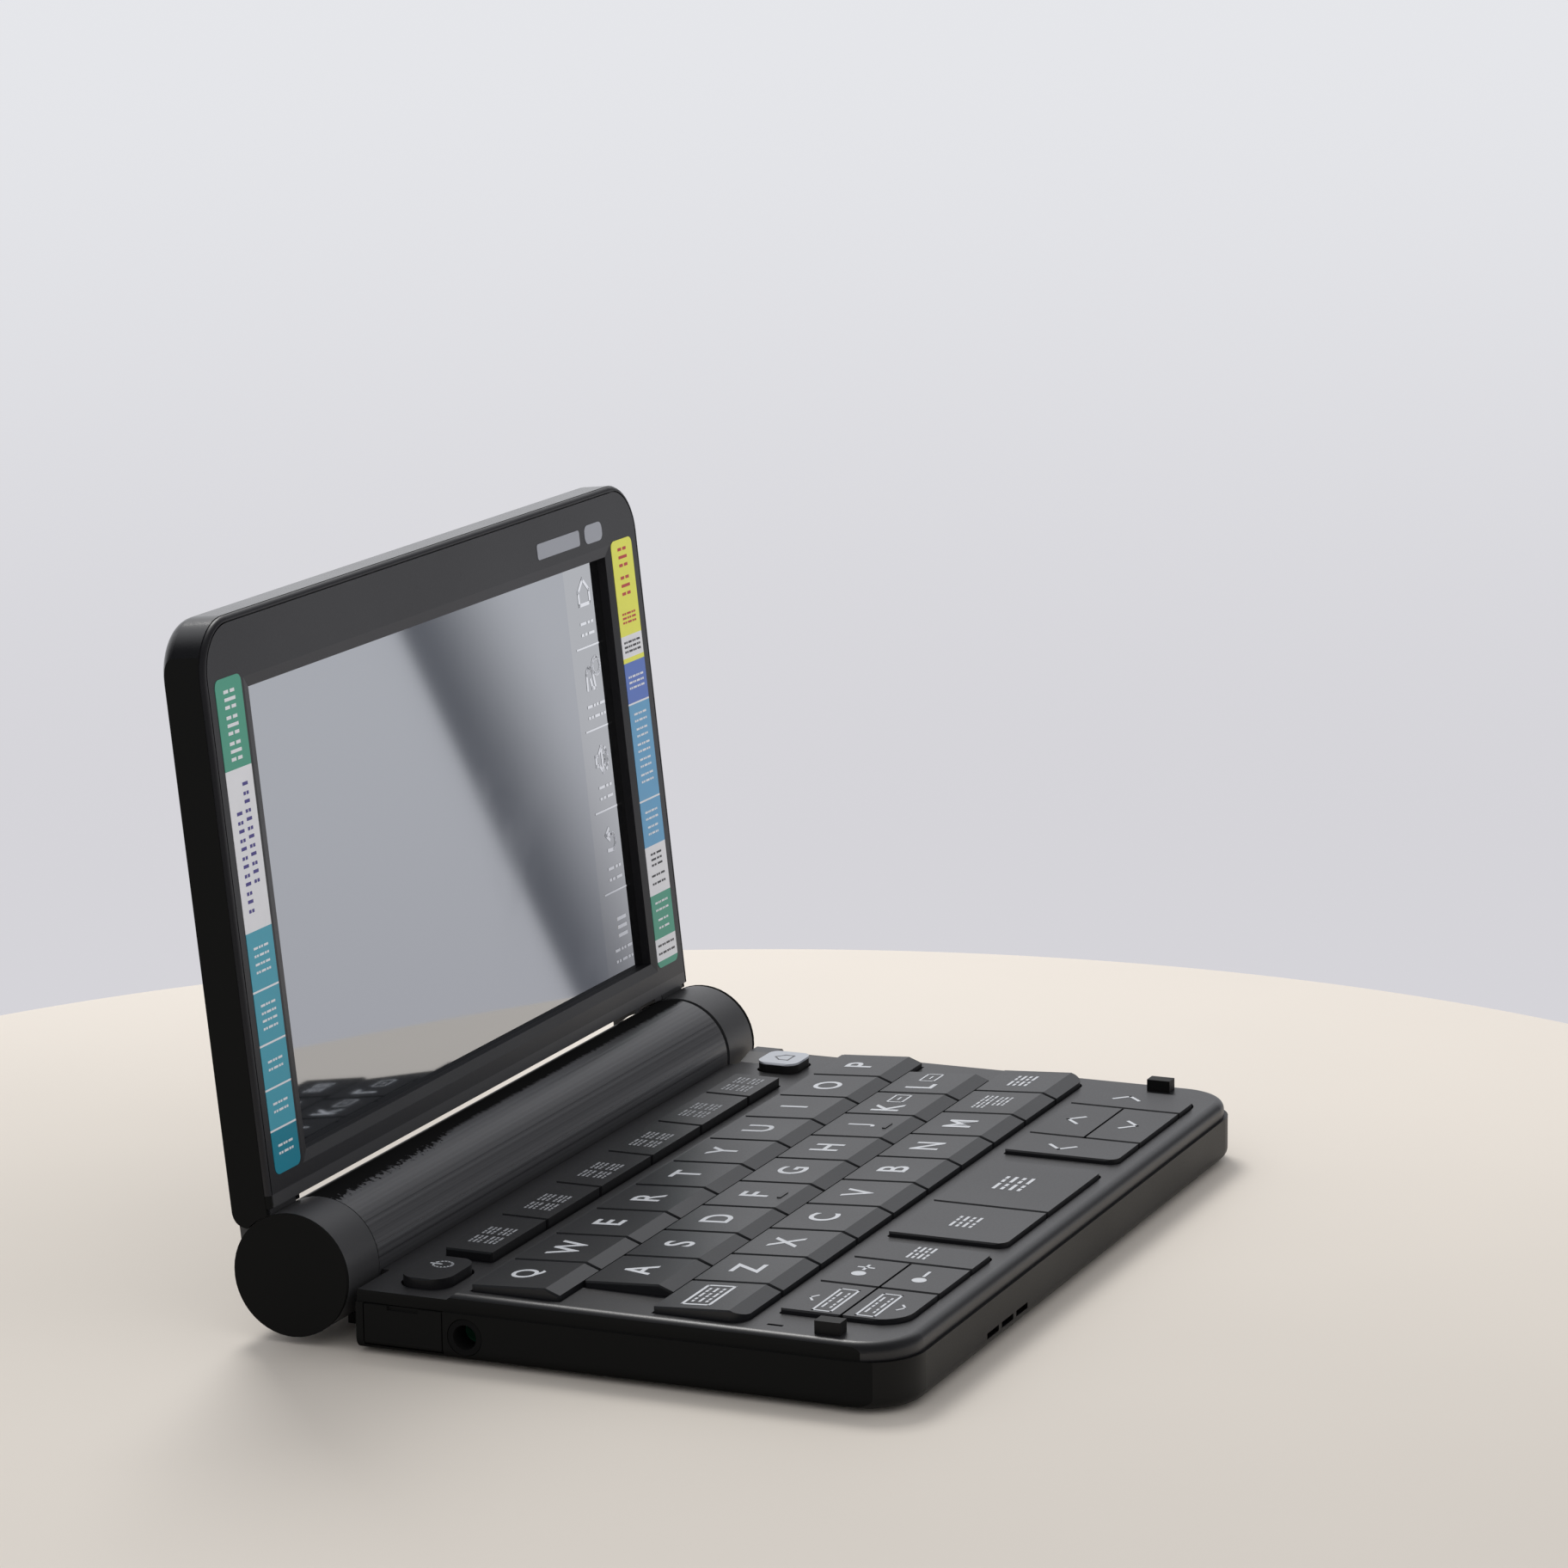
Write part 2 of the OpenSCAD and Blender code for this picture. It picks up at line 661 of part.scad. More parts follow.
board_side = inner_half_w - 0.8;
board_y0 = inner_front_y + 0.8;
board_y1 = inner_back_y - 0.6;
jack_body_w = 6;
jack_body_h = 5;
jack_face_x = -half_w + 0.1;
board_slot_end = jack_face_x + jack_len + 0.6;
chips = [[-30, 55, 14, 14], [-4, 47, 18, 12], [26, 57, 12, 16], [-52, 31, 10, 8], [50, 29, 12, 8]];
chip_t = 1.1;
usb_shell = [7, 8, 2.4];
usb_wall = 0.5;

module main_board() {
    difference() {
        color("#1f5a3a")
            union() {
                translate([0, 0, board_z])
                    linear_extrude(board_t)
                        difference() {
                            soft_rect(-board_side, board_side, board_y0, board_y1, [6, 6, 1, 1]);
                            translate([-board_side - 1, jack_y - jack_body_w / 2 - 0.3])
                                square([board_slot_end + board_side + 1, jack_body_w + 0.6]);
                        }
                translate([jack_face_x + 1.8, jack_y - jack_body_w / 2, jack_z - jack_body_h / 2 + 0.15])
                    cube([jack_len - 1.8, jack_body_w, jack_body_h]);
                translate([jack_face_x, jack_y, jack_z])
                    rotate([0, 90, 0])
                        cylinder(h = 2, r = jack_collar_r);
                // the socket's tail rests on the board
                translate([jack_face_x + jack_len - 1, jack_y - jack_body_w / 2, board_z])
                    cube([board_slot_end - jack_face_x - jack_len + 2, jack_body_w, board_t]);
                // USB and memory card sockets behind the port cover
                translate([-inner_half_w + 0.2, port_y0 + 2, board_z - usb_shell[2]])
                    difference() {
                        cube(usb_shell);
                        translate([-1, usb_wall, usb_wall])
                            cube([usb_shell[0], usb_shell[1] - 2 * usb_wall,
                                  usb_shell[2] - 2 * usb_wall]);
                    }
                for (c = chips)
                    translate([c[0] - c[2] / 2, front_y + c[1] - c[3] / 2, board_z - chip_t])
                        cube([c[2], c[3], chip_t]);
            }
        screw_holes(screw_r + 0.3, 0, deck_z);
        translate([jack_face_x - 1, jack_y, jack_z])
            rotate([0, 90, 0])
                cylinder(h = jack_len - 1, r = jack_r);
    }
}

speaker_x = (slit_x0 + slit_x1) / 2;
speaker_w = 16;
speaker_d = 8.5;
speaker_t = 2.4;

module speaker() {
    color("#2b2b2e")
    translate([0, 0, floor_z + 0.1]) {
        linear_extrude(speaker_t - 0.5)
            soft_rect(speaker_x - speaker_w / 2, speaker_x + speaker_w / 2,
                      inner_front_y + 0.2, inner_front_y + 0.2 + speaker_d, [2, 2, 2, 2]);
        translate([0, 0, speaker_t - 0.5])
            linear_extrude(0.5)
                soft_rect(speaker_x - speaker_w / 2 + 1, speaker_x + speaker_w / 2 - 1,
                          inner_front_y + 1.2, inner_front_y + speaker_d - 0.8, [1.5, 1.5, 1.5, 1.5]);
    }
}

dome_r = 2.6;
function key_centre(k) = [(k[1] + k[2]) / 2, (k[3] + k[4]) / 2];

module key_mat() {
    color("#5c5f63")
    difference() {
        union() {
            translate([0, 0, board_top])
                linear_extrude(mat_t)
                    soft_rect(-board_side + 0.6, board_side - 0.6, board_y0 + 0.6, board_y1 - 0.6,
                              [5, 5, 1, 1]);
            for (c = concat([for (k = KEYS) key_centre(k)],
                            [for (i = [0:function_count - 1])
                                [function_left(i) + function_width(i) / 2,
                                 (function_y0 + function_y1) / 2]]))
                translate([c[0], c[1], mat_top - eps])
                    cylinder(h = dome_h, r1 = dome_r, r2 = dome_r - 1, $fn = 32);
        }
        screw_holes(boss_r + 0.3, 0, deck_z);
        translate([-board_side - 1, jack_y - jack_body_w / 2 - 0.3, 0])
            cube([jack_len + 1.5, jack_body_w + 0.6, deck_z]);
    }
}

port_roll_r = 0.6;
port_hinge_z = port_z0 + port_roll_r + port_gap;
nail_w = 5;

module port_cover() {
    color("#1b1b1e") {
        difference() {
            translate([-half_w, port_y0 + port_gap, port_hinge_z])
                cube([port_t, port_len - 2 * port_gap, seam_z - port_top_gap - port_hinge_z]);
            // nail notch at the top
            translate([-half_w - 1, port_y0 + port_len / 2 - nail_w / 2, seam_z - port_top_gap - 0.6])
                cube([1.5, nail_w, 1]);
        }
        // rolled lower edge that the cover swings on
        translate([-half_w + port_roll_r, port_y0 + port_len - port_gap, port_hinge_z])
            rotate([90, 0, 0])
                cylinder(h = port_len - 2 * port_gap, r = port_roll_r, $fn = 32);
    }
}

foot_r = 4;
foot_sink = 0.4;
foot_side = 14;
front_foot_x = half_w - foot_side;
front_foot_y = front_y + 12;
rear_pad_x = half_w - 28;
rear_pad_w = 14;
rear_pad_d = 4.5;
stopper_rise = lid_plane_z() - 0.1 - deck_z;
function lid_plane_z() = hinge_z + lid_offset;

module rubber_pads() {
    color("#0c0c0d") {
        for (s = [-1, 1]) {
            translate([s * front_foot_x, front_foot_y, 0])
                cylinder(h = case_z + foot_sink, r = foot_r);
            difference() {
                translate([s * rear_pad_x - rear_pad_w / 2, hinge_y - rear_pad_d / 2, 0])
                    cube([rear_pad_w, rear_pad_d, hinge_z - barrel_r + 1]);
                hinge_rod(-half_w, half_w, barrel_r);
            }
            translate([s * stopper_x - stopper_w / 2, stopper_y - stopper_d / 2,
                       deck_z - stopper_sink])
                cube([stopper_w, stopper_d, stopper_sink + stopper_rise]);
        }
    }
}

module case_screws() {
    color("#9a9da1")
    for (p = screw_spots)
        translate([p[0], p[1], case_z + screw_sink]) {
            difference() {
                cylinder(h = screw_head_t, r = screw_head_r);
                for (a = [0, 90])
                    rotate([0, 0, a])
                        translate([-1.1, -0.2, -1])
                            cube([2.2, 0.4, 1.6]);
            }
            cylinder(h = screw_tip_z - case_z - screw_sink, r = screw_r);
        }
}

// ---- lid, in its own frame ----

frame_inset = 0.1;
frame_t = screen_depth;
rim_back = lid_front - frame_rim;
frame_edge_r = 0.7;
groove_inset = 0.85;
groove_w = 0.25;
groove_depth = 0.35;
neck_inset = 1.2;
neck_clear = 0.2;
neck_sink = 1.3;
neck_len = 2.2;
tray_r = lid_corner_r - lid_wall;

web_x = [half_w - 21.05, half_w - 12.85];
web_w = [2, 2.5];
web_depth = 4.5;

// Outline of the lid seen from the front, drawn in at the sides and the top
module lid_outline(inset) {
    r = lid_corner_r - inset;
    soft_rect(-half_w + inset, half_w - inset, lid_s0 - 0.1, lid_s1 - inset, [0, 0, r, r]);
}

module lid_frame() {
    color("#4a494e")
    on_lid()
    difference() {
        union() {
            // front plate, rounded at the top corners
            intersection() {
                edged_slab(-half_w + frame_inset, half_w - frame_inset,
                           lid_s0 - 2 * lid_corner_r, lid_s1 - frame_inset, lid_corner_r,
                           rim_back, lid_front)
                    section_round_high(lid_corner_r, rim_back, lid_front, frame_edge_r);
                translate([-body_w, lid_s0, lid_back])
                    cube([2 * body_w, body_d, lid_t]);
            }
            // back of the plate, inside the tray
            translate([0, 0, lid_front - frame_t])
                linear_extrude(frame_t - frame_rim + eps)
                    soft_rect(-half_w + lid_wall + 0.2, half_w - lid_wall - 0.2, lid_s0 + lid_wall + 0.2,
                              lid_s1 - lid_wall - 0.2, [1, 1, tray_r, tray_r]);
            // knuckles and the necks that carry them
            for (k = knuckle_ends) {
                translate([k[0], 0, 0])
                    rotate([0, 90, 0])
                        cylinder(h = k[1] - k[0], r = barrel_r);
                translate([k[0] + neck_inset, barrel_r / 2, lid_back + neck_sink])
                    cube([k[1] - k[0] - 2 * neck_inset, lid_s0 + lid_wall + neck_len - barrel_r / 2,
                          lid_t - neck_sink - frame_rim]);
            }
            // webs that close the right-hand end of the slot, just clear of the barrel
            for (i = [0, 1])
                difference() {
                    translate([web_x[i], barrel_r / 2, lid_front - web_depth])
                        cube([web_w[i], lid_s0 - barrel_r / 2 + eps, web_depth - 0.3]);
                    rotate([0, 90, 0])
                        cylinder(h = body_w, r = barrel_r + barrel_gap);
                }
        }
        // shadow groove around the front panel
        translate([0, 0, lid_front - groove_depth])
            linear_extrude(1)
                difference() {
                    lid_outline(groove_inset);
                    lid_outline(groove_inset + groove_w);
                }
        // screen opening: a straight wall under a shallow slope
        translate([screen_x0, screen_s0, lid_back])
            cube([screen_x1 - screen_x0, screen_s1 - screen_s0, lid_t + 1]);
        hull() {
            translate([screen_x0, screen_s0, lid_front - screen_slope_drop])
                cube([screen_x1 - screen_x0, screen_s1 - screen_s0, eps]);
            translate([screen_x0 - screen_slope, screen_s0 - screen_slope, lid_front + eps])
                cube([screen_x1 - screen_x0 + 2 * screen_slope,
                      screen_s1 - screen_s0 + 2 * screen_slope, eps]);
        }
        // running bores for the hinge pins
        translate([left_in - pin_in_knuckle - 0.2, 0, 0])
            rotate([0, 90, 0])
                cylinder(h = pin_in_knuckle + 1, r = pin_r + pin_clear);
        translate([right_in - 0.8, 0, 0])
            rotate([0, 90, 0])
                cylinder(h = pin_in_knuckle + 1, r = pin_r + pin_clear);
    }
}

cheek_s0 = 7;
cheek_r = 4;

// Everything above a rounded bottom edge of the back cover, between two places across
module cover_above(s0, r, x0, x1) {
    translate([x0, 0, 0])
        rotate([90, 0, 90])
            linear_extrude(x1 - x0)
                soft_rect(s0, 2 * body_d, lid_back, lid_front + 1, [r, 0, 0, 0]);
}

module lid_back_cover() {
    color("#232327")
    on_lid()
    difference() {
        intersection() {
            edged_slab(-half_w, half_w, lid_s0 - 2 * lid_corner_r, lid_s1, lid_corner_r,
                       lid_back, rim_back)
                section_round_low(lid_corner_r, lid_back, rim_back, lid_edge_r);
            union() {
                cover_above(lid_s0, lid_foot_r, -half_w, half_w);
                // cheeks that reach down to the knuckles
                for (k = knuckle_ends)
                    cover_above(cheek_s0, cheek_r, k[0], k[1]);
            }
        }
        translate([-body_w, 0, 0])
            rotate([0, 90, 0])
                cylinder(h = 2 * body_w, r = barrel_r + 0.15);
        // tray for the display
        translate([0, 0, lid_back + lid_wall])
            linear_extrude(lid_t)
                soft_rect(-half_w + lid_wall, half_w - lid_wall, lid_s0 + lid_wall + 2.6,
                          lid_s1 - lid_wall, [1, 1, tray_r, tray_r]);
        // step for the frame's plate
        translate([0, 0, lid_front - frame_t - 0.05])
            linear_extrude(lid_t)
                soft_rect(-half_w + lid_wall, half_w - lid_wall, lid_s0 + lid_wall,
                          lid_s1 - lid_wall, [1, 1, tray_r, tray_r]);
        // pockets for the knuckle necks
        for (k = knuckle_ends)
            translate([k[0] + neck_inset - neck_clear, 0, lid_back + neck_sink - neck_clear])
                cube([knuckle_w - 2 * (neck_inset - neck_clear),
                      lid_s0 + lid_wall + neck_len + neck_clear, lid_t]);
    }
}

glass_margin = 1.6;

module touch_glass() {
    color("#8f959c")
    on_lid()
        translate([0, 0, lid_front - frame_t - glass_t])
            linear_extrude(glass_t)
                soft_rect(screen_x0 - glass_margin, screen_x1 + glass_margin,
                          screen_s0 - glass_margin, screen_s1 + glass_margin, [1, 1, 1, 1]);
}

display_gap = 0.1;

module display_module() {
    z1 = lid_front - frame_t - glass_t - display_gap;
    color("#2e3236")
    on_lid() {
        // lit panel and its metal tray
        translate([0, 0, z1 - display_t])
            linear_extrude(display_t)
                soft_rect(screen_x0 + 0.5, screen_x1 - 9, screen_s0 + 0.5, screen_s1 - 0.5,
                          [0.5, 0.5, 0.5, 0.5]);
        // driver board beside the panel
        translate([screen_x1 - 9 - eps, screen_s0 + 6, z1 - display_t])
            cube([8, screen_s1 - screen_s0 - 12, 0.8]);
    }
}

// ---- keys ----

// Side view of a key's cap: [depth, height] from its front bottom corner
function cap_profile(k, inset) =
    let (d = k[4] - k[3], base = key_base(k), b = inset)
    k[5] == "letter"
        ? [[b, base], [b, deck_z + letter_rise_front - b], [letter_slope, deck_z + letter_rise_crest - b],
           [d - b, deck_z + letter_rise_back - b], [d - b, base]]
        : [[b, base], [b, key_top(k) - b], [d - b, key_top(k) - b], [d - b, base]];
function key_top(k) =
    k[5] == "front" ? deck_z + front_rise
    : k[5] == "home" ? strip_z + function_rise + 0.2
    : strip_z + function_rise;
function key_base(k) = mat_top + dome_h + key_travel + plunger_h;
plunger_h = 0.9;
cap_wall = 1.1;
plunger_r = 1.6;
bump_w = 3;
bump_d = 0.6;
bump_inset = 3.6;

// Cap with bevelled edges: two prisms of its side view, one longer and one fuller
module cap_solid(k) {
    w = k[2] - k[1];
    hull()
        for (b = [0, key_bevel])
            translate([k[1] + (key_bevel - b), k[3], 0])
                rotate([90, 0, 90])
                    linear_extrude(w - 2 * (key_bevel - b))
                        polygon(cap_profile(k, b));
}

module key_cap(k) {
    base = key_base(k);
    c = key_centre(k);
    radii = k[5] == "pill" || k[5] == "home" ? [k[6], k[7], k[7], k[6]] : [k[6], k[7], 0, 0];
    difference() {
        intersection() {
            cap_solid(k);
            translate([0, 0, base - 1])
                linear_extrude(deck_z)
                    soft_rect(k[1], k[2], k[3], k[4], radii);
        }
        translate([k[1] + cap_wall, k[3] + cap_wall, base - 1])
            cube([k[2] - k[1] - 2 * cap_wall, k[4] - k[3] - 2 * cap_wall,
                  1 + key_top_low(k) - cap_wall - base]);
    }
    translate([c[0], c[1], base - plunger_h])
        cylinder(h = key_top_low(k) - base, r = plunger_r, $fn = 24);
    // raised bar that fingers find
    if (k[0] == "key_f" || k[0] == "key_j")
        translate([c[0] - bump_w / 2, k[3] + bump_inset, deck_z + letter_rise_front])
            cube([bump_w, bump_d, letter_rise_crest - letter_rise_front + 0.05]);
}
function key_top_low(k) = k[5] == "letter" ? deck_z + letter_rise_front : key_top(k);

module key_color(k) {
    color(k[5] == "home" ? "#c4c8cf" : k[5] == "letter" ? "#55555b" : "#4b4b51")
        children();
}

function function_key(i) = ["function", function_left(i), function_left(i) + function_width(i),
                            function_y0, function_y1, "function", 0, 0];

module function_keys() {
    color("#3f3f44")
    for (i = [0:function_count - 1])
        key_cap(function_key(i));
}

// ---- assembly ----

lower_case();
upper_case();
battery_barrel();
battery_cover();
battery_cells();
battery_contacts();
hinge_pins();
main_board();
speaker();
key_mat();
port_cover();
rubber_pads();
case_screws();
lid_frame();
lid_back_cover();
touch_glass();
display_module();
function_keys();
for (k = KEYS)
    key_color(k) key_cap(k);
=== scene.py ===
import json
import math

import bmesh
import bpy
from mathutils import Matrix, Quaternion, Vector


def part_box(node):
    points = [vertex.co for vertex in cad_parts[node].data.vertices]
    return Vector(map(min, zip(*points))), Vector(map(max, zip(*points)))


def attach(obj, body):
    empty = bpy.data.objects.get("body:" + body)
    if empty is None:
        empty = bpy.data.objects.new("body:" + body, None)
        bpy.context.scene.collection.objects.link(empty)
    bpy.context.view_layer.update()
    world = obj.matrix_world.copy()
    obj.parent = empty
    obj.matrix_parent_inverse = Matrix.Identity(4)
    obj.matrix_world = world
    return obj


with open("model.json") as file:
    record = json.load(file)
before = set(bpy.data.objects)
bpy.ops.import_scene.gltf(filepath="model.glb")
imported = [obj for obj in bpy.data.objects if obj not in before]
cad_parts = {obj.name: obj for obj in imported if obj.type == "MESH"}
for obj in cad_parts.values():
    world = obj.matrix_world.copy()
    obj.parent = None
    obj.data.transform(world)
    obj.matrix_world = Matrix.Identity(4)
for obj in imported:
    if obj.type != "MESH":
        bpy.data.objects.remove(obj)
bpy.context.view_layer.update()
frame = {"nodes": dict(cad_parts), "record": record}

# ---- Camera ----
# A long lens looks at the open dictionary from the front left, from a little above the table.
# Its place, aim and roll are those at which the case, the lid and the key rows fit best.
MM = 0.001
scene = bpy.context.scene
scene.view_settings.view_transform = "Standard"

eye = Vector((-733.8, -325.7, 239.6)) * MM
aim = Vector((-0.65, -9.0, 72.7)) * MM
eye_roll = math.radians(-0.62)
film_w, lens = 36, 123.1
camera = bpy.data.objects.new("camera", bpy.data.cameras.new("camera"))
camera.data.sensor_width = film_w
camera.data.lens = lens
camera.rotation_mode = "QUATERNION"
camera.location = eye
camera.rotation_quaternion = (aim - eye).to_track_quat("-Z", "Y") @ Quaternion((0, 0, 1), eye_roll)
scene.collection.objects.link(camera)
scene.camera = camera


# ---- Table, wall and lamp ----
# A round cream table stands before a pale wall in soft light from all around, with a lamp behind
# on the right. Shiny parts see a dark room on the left and low in front, and the screen sees a
# dark stand off to the right.
class Wire:
    """A shader socket that takes part in Python arithmetic."""

    def __init__(self, finish, socket):
        self.finish = finish
        self.socket = socket

    def math(self, operation, *values):
        return self.finish.node("ShaderNodeMath", {"operation": operation}, values)

    def __add__(self, other):
        return self.math("ADD", self, other)

    def __sub__(self, other):
        return self.math("SUBTRACT", self, other)

    def __rsub__(self, other):
        return self.math("SUBTRACT", other, self)

    def __mul__(self, other):
        return self.math("MULTIPLY", self, other)

    def __gt__(self, other):
        return self.math("GREATER_THAN", self, other)

    def __lt__(self, other):
        return self.math("LESS_THAN", self, other)

    __radd__ = __add__
    __rmul__ = __mul__


class Finish:
    """The nodes of one material or world."""

    def __init__(self, owner):
        self.owner = owner
        owner.use_nodes = True
        self.tree = owner.node_tree
        self.tree.nodes.clear()

    def node(self, kind, settings=None, inputs=(), output=0):
        """Adds a node, sets it up, feeds its inputs and returns one of its outputs."""
        node = self.tree.nodes.new(kind)
        for name, value in (settings or {}).items():
            setattr(node, name, value)
        for key, value in inputs.items() if isinstance(inputs, dict) else enumerate(inputs):
            if isinstance(value, Wire):
                self.tree.links.new(value.socket, node.inputs[key])
            else:
                node.inputs[key].default_value = value
        return Wire(self, node.outputs[output]) if node.outputs else None

    def mix(self, share, first, second):
        """Blends two colours."""
        sockets = {0: share, 6: first, 7: second}
        return self.node("ShaderNodeMix", {"data_type": "RGBA"}, sockets, output=2)

    def ramp(self, value, low, high):
        """Goes smoothly from 0 to 1 as value goes from low to high."""
        sockets = {0: value, 1: low, 2: high, 3: 0.0, 4: 1.0}
        return self.node("ShaderNodeMapRange", {"interpolation_type": "SMOOTHSTEP"}, sockets)

    def place(self):
        """The point on the object, as a vector and as its three coordinates in metres."""
        point = self.node("ShaderNodeTexCoord", output="Object")
        return point, self.split(point)

    def split(self, vector):
        """The three numbers of a vector."""
        return [self.node("ShaderNodeSeparateXYZ", inputs=[vector], output=i) for i in range(3)]

    def noise(self, point, size, detail=2.0):
        """Noise whose features are about size metres wide."""
        sockets = {"Vector": point, "Scale": 1.0 / size, "Detail": detail}
        return self.node("ShaderNodeTexNoise", None, sockets)

    def gloss(self, **sockets):
        """The main shader, with its sockets named in Python's way."""
        named = {name.replace("_", " "): value for name, value in sockets.items()}
        return self.node("ShaderNodeBsdfPrincipled", None, named)

    def bump(self, height, depth, strength):
        """A normal for the main shader, from a height and the depth of its full range."""
        sockets = {"Strength": strength, "Distance": depth, "Height": height}
        return self.node("ShaderNodeBump", None, sockets)

    def end(self, shader):
        """Puts the shader out, and returns the finished material."""
        self.node("ShaderNodeOutputMaterial", None, [shader])
        return self.owner


def rgb(red, green, blue):
    """A colour for a socket, from the display's 0 to 255."""
    return (*((value / 255) ** 2.2 for value in (red, green, blue)), 1.0)


def show(name, mesh, material):
    """Puts a finished mesh in the scene, with its material."""
    piece = bpy.data.objects.new(name, mesh)
    mesh.materials.append(material)
    scene.collection.objects.link(piece)
    return piece


def to_mesh(name, bm, place=None, smooth=False):
    """Ends a bmesh: joins doubles, points the faces outwards, and moves it to its place."""
    bmesh.ops.remove_doubles(bm, verts=bm.verts[:], dist=1e-7)
    bmesh.ops.recalc_face_normals(bm, faces=bm.faces[:])
    if place is not None:
        bmesh.ops.transform(bm, matrix=place, verts=bm.verts[:])
    for face in bm.faces:
        face.smooth = smooth
    mesh = bpy.data.meshes.new(name)
    bm.to_mesh(mesh)
    bm.free()
    return mesh


table_centre = Vector((-21.65, -5, 0)) * MM
table_r = 215 * MM
table_depth = 18 * MM
table_edge = 3 * MM
shaded_near_cream, lit_far_cream = rgb(206, 199, 189), rgb(225, 217, 206)
bm = bmesh.new()
bmesh.ops.create_cone(bm, cap_ends=True, segments=256, radius1=table_r, radius2=table_r,
                      depth=table_depth)
bmesh.ops.translate(bm, vec=table_centre - Vector((0, 0, table_depth / 2)), verts=bm.verts[:])
rims = [edge for edge in bm.edges if len(edge.link_faces) == 2
        and any(len(face.verts) > 4 for face in edge.link_faces)]
bmesh.ops.bevel(bm, geom=rims, offset=table_edge, segments=4, profile=0.5, affect="EDGES",
                material=-1)
cream = Finish(bpy.data.materials.new("cream_table"))
point, (along, _, _) = cream.place()
speck = cream.noise(point, 1.5 * MM)
# Painted light: the cream grows lighter towards the far end, standing in for the light and sheen
# that fall there.
painted_far_light = cream.ramp(along, -150 * MM, 170 * MM)
cloud = (cream.noise(point, 80 * MM) - 0.5) * 0.3
shader = cream.gloss(Base_Color=cream.mix(painted_far_light + cloud, shaded_near_cream, lit_far_cream),
                     Roughness=0.62, Normal=cream.bump(speck, 0.05 * MM, 0.1))
table = show("table", to_mesh("table", bm), cream.end(shader))

wall_foot, wall_top, dark_room = rgb(212, 211, 216), rgb(229, 230, 234), rgb(50, 51, 54)
ambient = (0.74, 0.74, 0.76, 1)
scene.world = bpy.data.worlds.new("room")
room = Finish(scene.world)
camera_ray, glossy_ray, through_ray = (room.node("ShaderNodeLightPath", output=name) for name in
                                       ("Is Camera Ray", "Is Glossy Ray", "Is Transmission Ray"))
heading = room.node("ShaderNodeTexCoord", output="Generated")
side, depth, height = room.split(heading)
wall = room.mix(room.ramp(height, -0.22, -0.05), wall_foot, wall_top)
lit_side = room.ramp(side, -0.5, 0.3)
front_dim = room.ramp(height, -0.02, 0.12) * room.ramp(0 - depth, 0.06, 0.31) * 0.86
mirrored = room.mix(front_dim, room.mix(lit_side, dark_room, wall), dark_room)
shine = glossy_ray.math("MAXIMUM", glossy_ray, through_ray)
light = room.mix(camera_ray, room.mix(shine, ambient, mirrored), wall)
room.node("ShaderNodeOutputWorld", None, [room.node("ShaderNodeBackground", None, [light])])

lamp_place, lamp_aim = Vector((0.42, 0.36, 0.82)), Vector((0, 0, 0.03))
lamp_w, lamp_power, lamp_colour = 0.32, 4.3, (1.0, 0.985, 0.96)
soft_box = bpy.data.lights.new("back_lamp", "AREA")
soft_box.size = lamp_w
soft_box.energy = lamp_power
soft_box.color = lamp_colour
lamp = bpy.data.objects.new("back_lamp", soft_box)
lamp.location = lamp_place
lamp.rotation_euler = (lamp_aim - lamp_place).to_track_quat("-Z", "Y").to_euler()
scene.collection.objects.link(lamp)

# Only mirrors see the stand, a leaning strip with one sharp and one soft edge.
stand_mark = Vector((1.5, -0.781, -0.041))
stand_lean = -0.277
stand_w, sharp_edge = 0.075, 0.003
stand_share = 0.86
stand_grey = rgb(70, 74, 84)
board_r, board_z = 0.25, -0.1
bm = bmesh.new()
bmesh.ops.create_grid(bm, x_segments=1, y_segments=1, size=board_r)
upright = Matrix.Rotation(math.radians(90), 4, "Y")
stand_place = Matrix.Translation((stand_mark.x, stand_mark.y, board_z)) @ upright
shade = Finish(bpy.data.materials.new("dark_stand"))
_, (_, across, up) = shade.place()
inwards = across - stand_mark.y - (up - stand_mark.z) * stand_lean
near_edge = shade.ramp(inwards, -sharp_edge, sharp_edge)
far_edge = shade.ramp(inwards, 0.004, stand_w)
clear = shade.node("ShaderNodeBsdfTransparent")
black = shade.node("ShaderNodeEmission", None, [stand_grey, 1.0])
cover = near_edge * (1 - far_edge) * stand_share
shader = shade.node("ShaderNodeMixShader", None, [cover, clear, black])
stand = show("dark_stand", to_mesh("dark_stand", bm, stand_place), shade.end(shader))
for sight in ("camera", "diffuse", "transmission", "volume_scatter", "shadow"):
    setattr(stand, "visible_" + sight, False)


# ---- Cases and lid shells ----
# Injection-moulded plastic with a fine spark-eroded grain, one moulding for each shell, in black
# and dark grey. The shells' end faces carry painted shade, a flat black without gloss, the knuckles
# are paler than the lid's frame that they belong to, and the lid's back cover is the smoothest.
def dress(material, *names):
    """Gives CAD nodes their material."""
    for name in names:
        for slot in frame["nodes"][name].material_slots:
            slot.material = material


